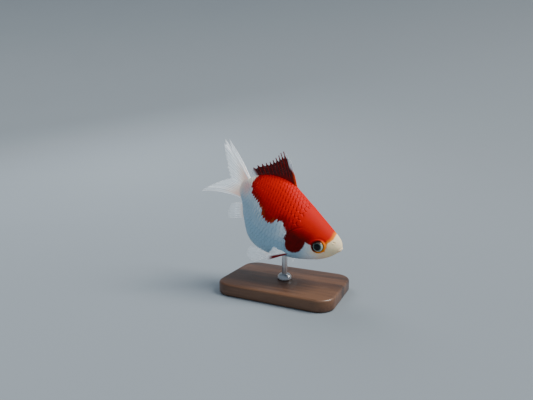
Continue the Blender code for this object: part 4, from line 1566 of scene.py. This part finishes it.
def pectoral(sign, lowered):
    return fan(
        side_root(sign, PECTORAL_ROOT), (-0.92, sign * 0.30, -0.25), (-0.10, sign * 0.35, -0.93),
        (-0.3, sign * 0.9, 0.3), length=lambda t: 0.225 - 0.10 * t, angle=lambda t: 46 - 42 * t + lowered,
        droop=8, ripple=0.006, waves=1, folds=0.003,
    )


def pelvic(sign):
    return fan(
        side_root(sign, PELVIC_ROOT), (-1, sign * 0.2, 0), (0, sign * 0.35, -0.94), (0, sign * 0.94, 0.35),
        length=lambda t: 0.215 + 0.10 * t - 0.13 * t**2, angle=lambda t: 58 - 38 * t,
        droop=8, ripple=0.006, waves=1, folds=0.003,
    )


def anal(sign):
    return fan(
        side_root(sign, ANAL_ROOT), (-1, 0, 0), (0, 0, -1), (0, sign, 0),
        length=lambda t: (0.180 - 0.03 * t) * (1 - 0.20 * t**3 - 0.14 * (1 - t) ** 3),
        angle=lambda t: 37 - 6 * t, droop=6, splay=9, ripple=0.004, waves=1, folds=0.003,
    )


for side, sign in SIDES:
    lowered = PECTORAL_LOWERED[side]
    finish = red_edged_fin if side == "right" else clear_fin
    make_fin(f"pectoral_fin_{side}", pectoral(sign, lowered), 13, 0.05, finish, thick=0.85)
    make_fin(f"pelvic_fin_{side}", pelvic(sign), 9, 0.06, clear_fin)
    make_fin(f"anal_fin_{side}", anal(sign), 7, 0.06, clear_fin)

# %% [markdown]
# ## The eyes
#
# A fish has no lids, and its eye is a ball that stands out of the head, flattened from side to side.
# From the middle out it is a round black pupil, a dark ring, and a pale silvery ring where the iris
# shines through. The iris is darker at its top in its own colour, and is painted darker still as the shade
# under the brow. A museum model has glass eyes painted like this from behind. Each ball is a stack of
# rings round its own axis. "ring" keeps how far from that axis a point is, and "rise" how high it lies on
# the ball.

# %% The eyes
EYE_STEPS = 56
EYE_BANDS = 34
POLE_GAP = 0.02
GOLD_FLECK = (0.42, 0.36, 0.18)
BROW_SHADE_RED = (0.070, 0.010, 0.005)


def eye_finish():
    finish = Finish("eye")
    streak = finish.noise(2400, 4)
    ring = finish.attribute("ring") + (streak - 0.5) * 0.045
    stops = ((0.0, (0.001, 0.001, 0.002)), (0.53, (0.002, 0.002, 0.003)), (0.57, (0.035, 0.055, 0.050)),
             (0.66, (0.075, 0.125, 0.115)), (0.74, (0.30, 0.42, 0.39)), (0.85, (0.60, 0.74, 0.68)),
             (0.92, (0.12, 0.11, 0.08)), (0.955, (0.030, 0.006, 0.005)))
    colour = finish.node("ShaderNodeValToRGB", {"stops": stops}, {0: ring})
    colour = finish.mix(streak.step(0.45, 0.75) * ring.step(0.58, 0.68) * 0.30, colour, GOLD_FLECK)
    # Painted shade: the top of the iris is painted dark red, as shade under the brow over its own darker
    # colour.
    brow = finish.attribute("rise").step(0.34, 0.62) * ring.step(0.60, 0.72) * 0.92
    colour = finish.mix(brow, colour, BROW_SHADE_RED)
    metal = ring.step(0.70, 0.78) * ring.step(0.95, 0.90) * 0.35
    finish.shine(Specular_IOR_Level=0.12, Coat_Weight=0.30, Coat_Roughness=0.03)
    return finish.shine(Base_Color=colour, Metallic=metal, Roughness=0.34 - metal * 0.1)


eye_material = eye_finish()
from_axis = np.linspace(POLE_GAP, math.pi - POLE_GAP, EYE_BANDS)
round_axis = np.linspace(0, 2 * math.pi, EYE_STEPS, endpoint=False)
for side, sign in SIDES:
    polar, round_it = np.meshgrid(from_axis, round_axis, indexing="ij")
    ball = np.stack([np.sin(polar) * np.cos(round_it), sign * EYE_FLATNESS * np.cos(polar),
                     np.sin(polar) * np.sin(round_it)], axis=-1)
    poles = np.array([(0, sign * EYE_FLATNESS, 0), (0, -sign * EYE_FLATNESS, 0)])
    ball = np.concatenate([ball.reshape(-1, 3), poles]) * EYE_RADIUS
    middle = on_side(EYE_AT, sign, EYE_SINK)
    faces = tube_faces(EYE_BANDS, EYE_STEPS)
    eye = new_piece(f"eye_{side}_fine", place(ball + middle), faces, eye_material)
    far_side = np.append(polar.ravel() > math.pi / 2, (False, True))
    ring = np.append(np.sin(polar).ravel(), (0.0, 0.0))
    store(eye.data, "ring", np.where(far_side, 1.0, ring), "FLOAT")
    store(eye.data, "rise", (place(ball + middle) - place(middle))[:, 2] / EYE_RADIUS, "FLOAT")
    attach(eye, BODY)
    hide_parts(f"eye_{side}")
    print(eye.name, "at", [round(v, 4) for v in place(middle)])

# %% [markdown]
# ## The stand
#
# The stand is plain on purpose: a walnut base with rounded edges, a turned steel collar and one rod. Wood
# is all in its grain, so the noise is stretched along the board and read at three sizes, from the broad
# figure to single fibres. An image would do for one board, but this grain runs through the whole block.
# The steel is brushed round, so its lines are thin and level.

# %% Wood and steel
def walnut():
    finish = Finish("walnut")
    drift = finish.noise(30, 2, stretch=(0.30, 1.0, 1.0))
    streaks = finish.noise(170, 5, 0.6, stretch=(0.07, 1.0, 0.5))
    fibres = finish.noise(1100, 4, 0.65, stretch=(0.04, 1.0, 1.0))
    pores = finish.noise(3000, 2, 0.6, stretch=(0.05, 1.0, 1.0)).step(0.60, 0.72)
    grain = streaks * 0.50 + drift * 0.28 + fibres * 0.22
    stops = ((0.40, (0.018, 0.007, 0.004)), (0.47, (0.056, 0.022, 0.010)), (0.53, (0.090, 0.037, 0.017)),
             (0.60, (0.150, 0.068, 0.032)))
    colour = finish.node("ShaderNodeValToRGB", {"stops": stops}, {0: grain})
    colour = finish.mix(pores * 0.45, colour, (0.035, 0.014, 0.008))
    normal = finish.bump(fibres * 0.5 - pores, 0.00006)
    finish.shine(Coat_Weight=0.30, Coat_Roughness=0.18)
    return finish.shine(Base_Color=colour, Roughness=0.42 + fibres * 0.15, Normal=normal)


def steel():
    finish = Finish("brushed_steel")
    lines = finish.noise(1200, 3, 0.6, stretch=(0.15, 0.15, 6.0))
    tone = finish.mix(lines, (0.56, 0.56, 0.58), (0.66, 0.66, 0.67))
    normal = finish.bump(lines, 0.000006)
    finish.shine(Metallic=1.0)
    return finish.shine(Base_Color=tone, Roughness=0.22 + lines * 0.16, Normal=normal)


walnut_material, steel_material = walnut(), steel()
print("stand finishes:", walnut_material.name, "and", steel_material.name)

# %% [markdown]
# The stand's solids are right, but they have few facets, so finer copies of the same sizes take their
# place. A lathe makes the collar and the rod, and so does this helper: it turns a profile round the
# upright axis. Edges sharper than 40 degrees stay sharp.

# %% Turned pieces
TURN_STEPS = 96
SHARP_EDGE = math.radians(40)


def turned(node, profile, material):
    """A piece turned round the upright axis, from a closed profile of (radius, height)."""
    steps = np.linspace(0, 2 * math.pi, TURN_STEPS, endpoint=False)
    points = [(r * math.cos(a), r * math.sin(a), z) for r, z in profile for a in steps]
    faces = []
    count = len(profile)
    for i in range(count):
        near, far = i * TURN_STEPS, (i + 1) % count * TURN_STEPS
        for k in range(TURN_STEPS):
            after = (k + 1) % TURN_STEPS
            faces.append((near + k, far + k, far + after, near + after))
    return stand_piece(node, points, faces, material)


def stand_piece(node, points, faces, material):
    """A piece of the stand, which stands for its solid."""
    piece = new_piece(f"{node}_fine", points, faces, material)
    piece.data.set_sharp_from_angle(angle=SHARP_EDGE)
    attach(piece, BODY)
    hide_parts(node)
    print(piece.name, len(faces), "faces")
    return piece


# %% [markdown]
# The base is a block of walnut, sawn with round corners and with its edges sanded round. The same outline
# is repeated up the block, drawn in a little near the top and the bottom. A bevel modifier would round
# the edges too, but this keeps every size in view.

# %% The base
BASE_CORNER = 0.008
CORNER_STEPS = 16
EDGE_ROUND = 0.0011
EDGE_STEPS = 5


def base_loop(inset, z):
    """One outline of the base, with round corners, drawn in by inset."""
    (low, high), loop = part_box("stand_base"), []
    half_x, half_y = (high.x - low.x) / 2 - BASE_CORNER, (high.y - low.y) / 2 - BASE_CORNER
    for corner, (cx, cy) in enumerate(((1, 1), (-1, 1), (-1, -1), (1, -1))):
        for i in range(CORNER_STEPS + 1):
            a = math.pi / 2 * (corner + i / CORNER_STEPS)
            reach = BASE_CORNER - inset
            loop.append((cx * half_x + reach * math.cos(a), cy * half_y + reach * math.sin(a), z))
    return loop


base_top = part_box("stand_base")[1].z
edge_turns = [math.pi / 2 * (1 - i / EDGE_STEPS) for i in range(EDGE_STEPS + 1)]
edge = [(EDGE_ROUND * (1 - math.sin(a)), EDGE_ROUND * (1 - math.cos(a))) for a in edge_turns]
levels = [(inset, z) for inset, z in reversed(edge)] + [(inset, base_top - z) for inset, z in edge]
loops = [base_loop(inset, z) for inset, z in levels]
count = len(loops[0])
base_faces = [tuple(range(count)), tuple(range((len(loops) - 1) * count, len(loops) * count))]
for i in range(len(loops) - 1):
    for k in range(count):
        after = (k + 1) % count
        base_faces.append((i * count + k, i * count + after, (i + 1) * count + after, (i + 1) * count + k))
stand_piece("stand_base", np.concatenate(loops), base_faces, walnut_material)

# %% [markdown]
# The collar holds the rod upright on the base. It is a low cylinder with a sloping top and softened
# edges, round the rod. Only the rod's top goes past its solid, a little way into the belly, so that no
# gap shows.

# %% Collar and rod
COLLAR_FILLET = 0.0003
SHOULDER_HEIGHT = 0.6
TOP_RADII = (0.74, 0.69)
ROD_AXIS = 0.00001
ROD_HIDDEN = 0.0012

(collar_low, collar_high), (rod_low, rod_high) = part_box("stand_collar"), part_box("stand_rod")
collar_radius, rod_radius = collar_high.x, rod_high.x
shoulder = collar_low.z + SHOULDER_HEIGHT * (collar_high.z - collar_low.z)
collar_profile = [
    (rod_radius, collar_low.z),
    (collar_radius, collar_low.z),
    (collar_radius - COLLAR_FILLET * 0.3, shoulder - COLLAR_FILLET),
    (collar_radius - COLLAR_FILLET, shoulder),
    (collar_radius * TOP_RADII[0], collar_high.z - COLLAR_FILLET * 0.4),
    (collar_radius * TOP_RADII[1], collar_high.z),
    (rod_radius, collar_high.z),
]
turned("stand_collar", collar_profile, steel_material)
rod_top = rod_high.z + ROD_HIDDEN
rod_profile = [(ROD_AXIS, rod_low.z), (rod_radius, rod_low.z), (rod_radius, rod_top), (ROD_AXIS, rod_top)]
turned("stand_rod", rod_profile, steel_material)

# %% [markdown]
# ## The floor
#
# A pale sheet lies under the stand and sweeps up far behind the fish, as a studio's paper roll does, so
# that no horizon shows behind it. A plane and a wall would show a line where they meet. The sheet is no
# part of the model.

# %% The floor that sweeps up
FLOOR_FRONT = 5.0
FLOOR_BACK = 0.15
SWEEP_RADIUS = 1.6
SWEEP_STEPS = 24
WALL_TOP = 2.4
FLOOR_HALF_WIDTH = 6.0
FLOOR_GAP = 0.00005
PAPER_COLOURS = ((0.212, 0.248, 0.280), (0.224, 0.260, 0.292))


def floor_finish():
    finish = Finish("paper_roll")
    mottle = finish.noise(6, 3)
    colour = finish.mix(mottle, *PAPER_COLOURS)
    return finish.shine(Base_Color=colour, Roughness=0.85 + mottle * 0.1)


sweep = [(FLOOR_FRONT, 0.0), (0.0, 0.0)]
for i in range(SWEEP_STEPS + 1):
    a = math.pi / 2 * i / SWEEP_STEPS
    sweep.append((-FLOOR_BACK - SWEEP_RADIUS * math.sin(a), SWEEP_RADIUS * (1 - math.cos(a))))
sweep.append((-FLOOR_BACK - SWEEP_RADIUS, WALL_TOP))
floor_points = []
for toward_camera, height in sweep:
    for side in (-FLOOR_HALF_WIDTH, FLOOR_HALF_WIDTH):
        spot = view_back * toward_camera + view_right * side
        floor_points.append((spot.x, spot.y, height - FLOOR_GAP))
floor_faces = [(2 * i, 2 * i + 1, 2 * i + 3, 2 * i + 2) for i in range(len(sweep) - 1)]
floor = new_piece("floor", floor_points, floor_faces, floor_finish())
print("floor:", len(floor_faces), "faces")
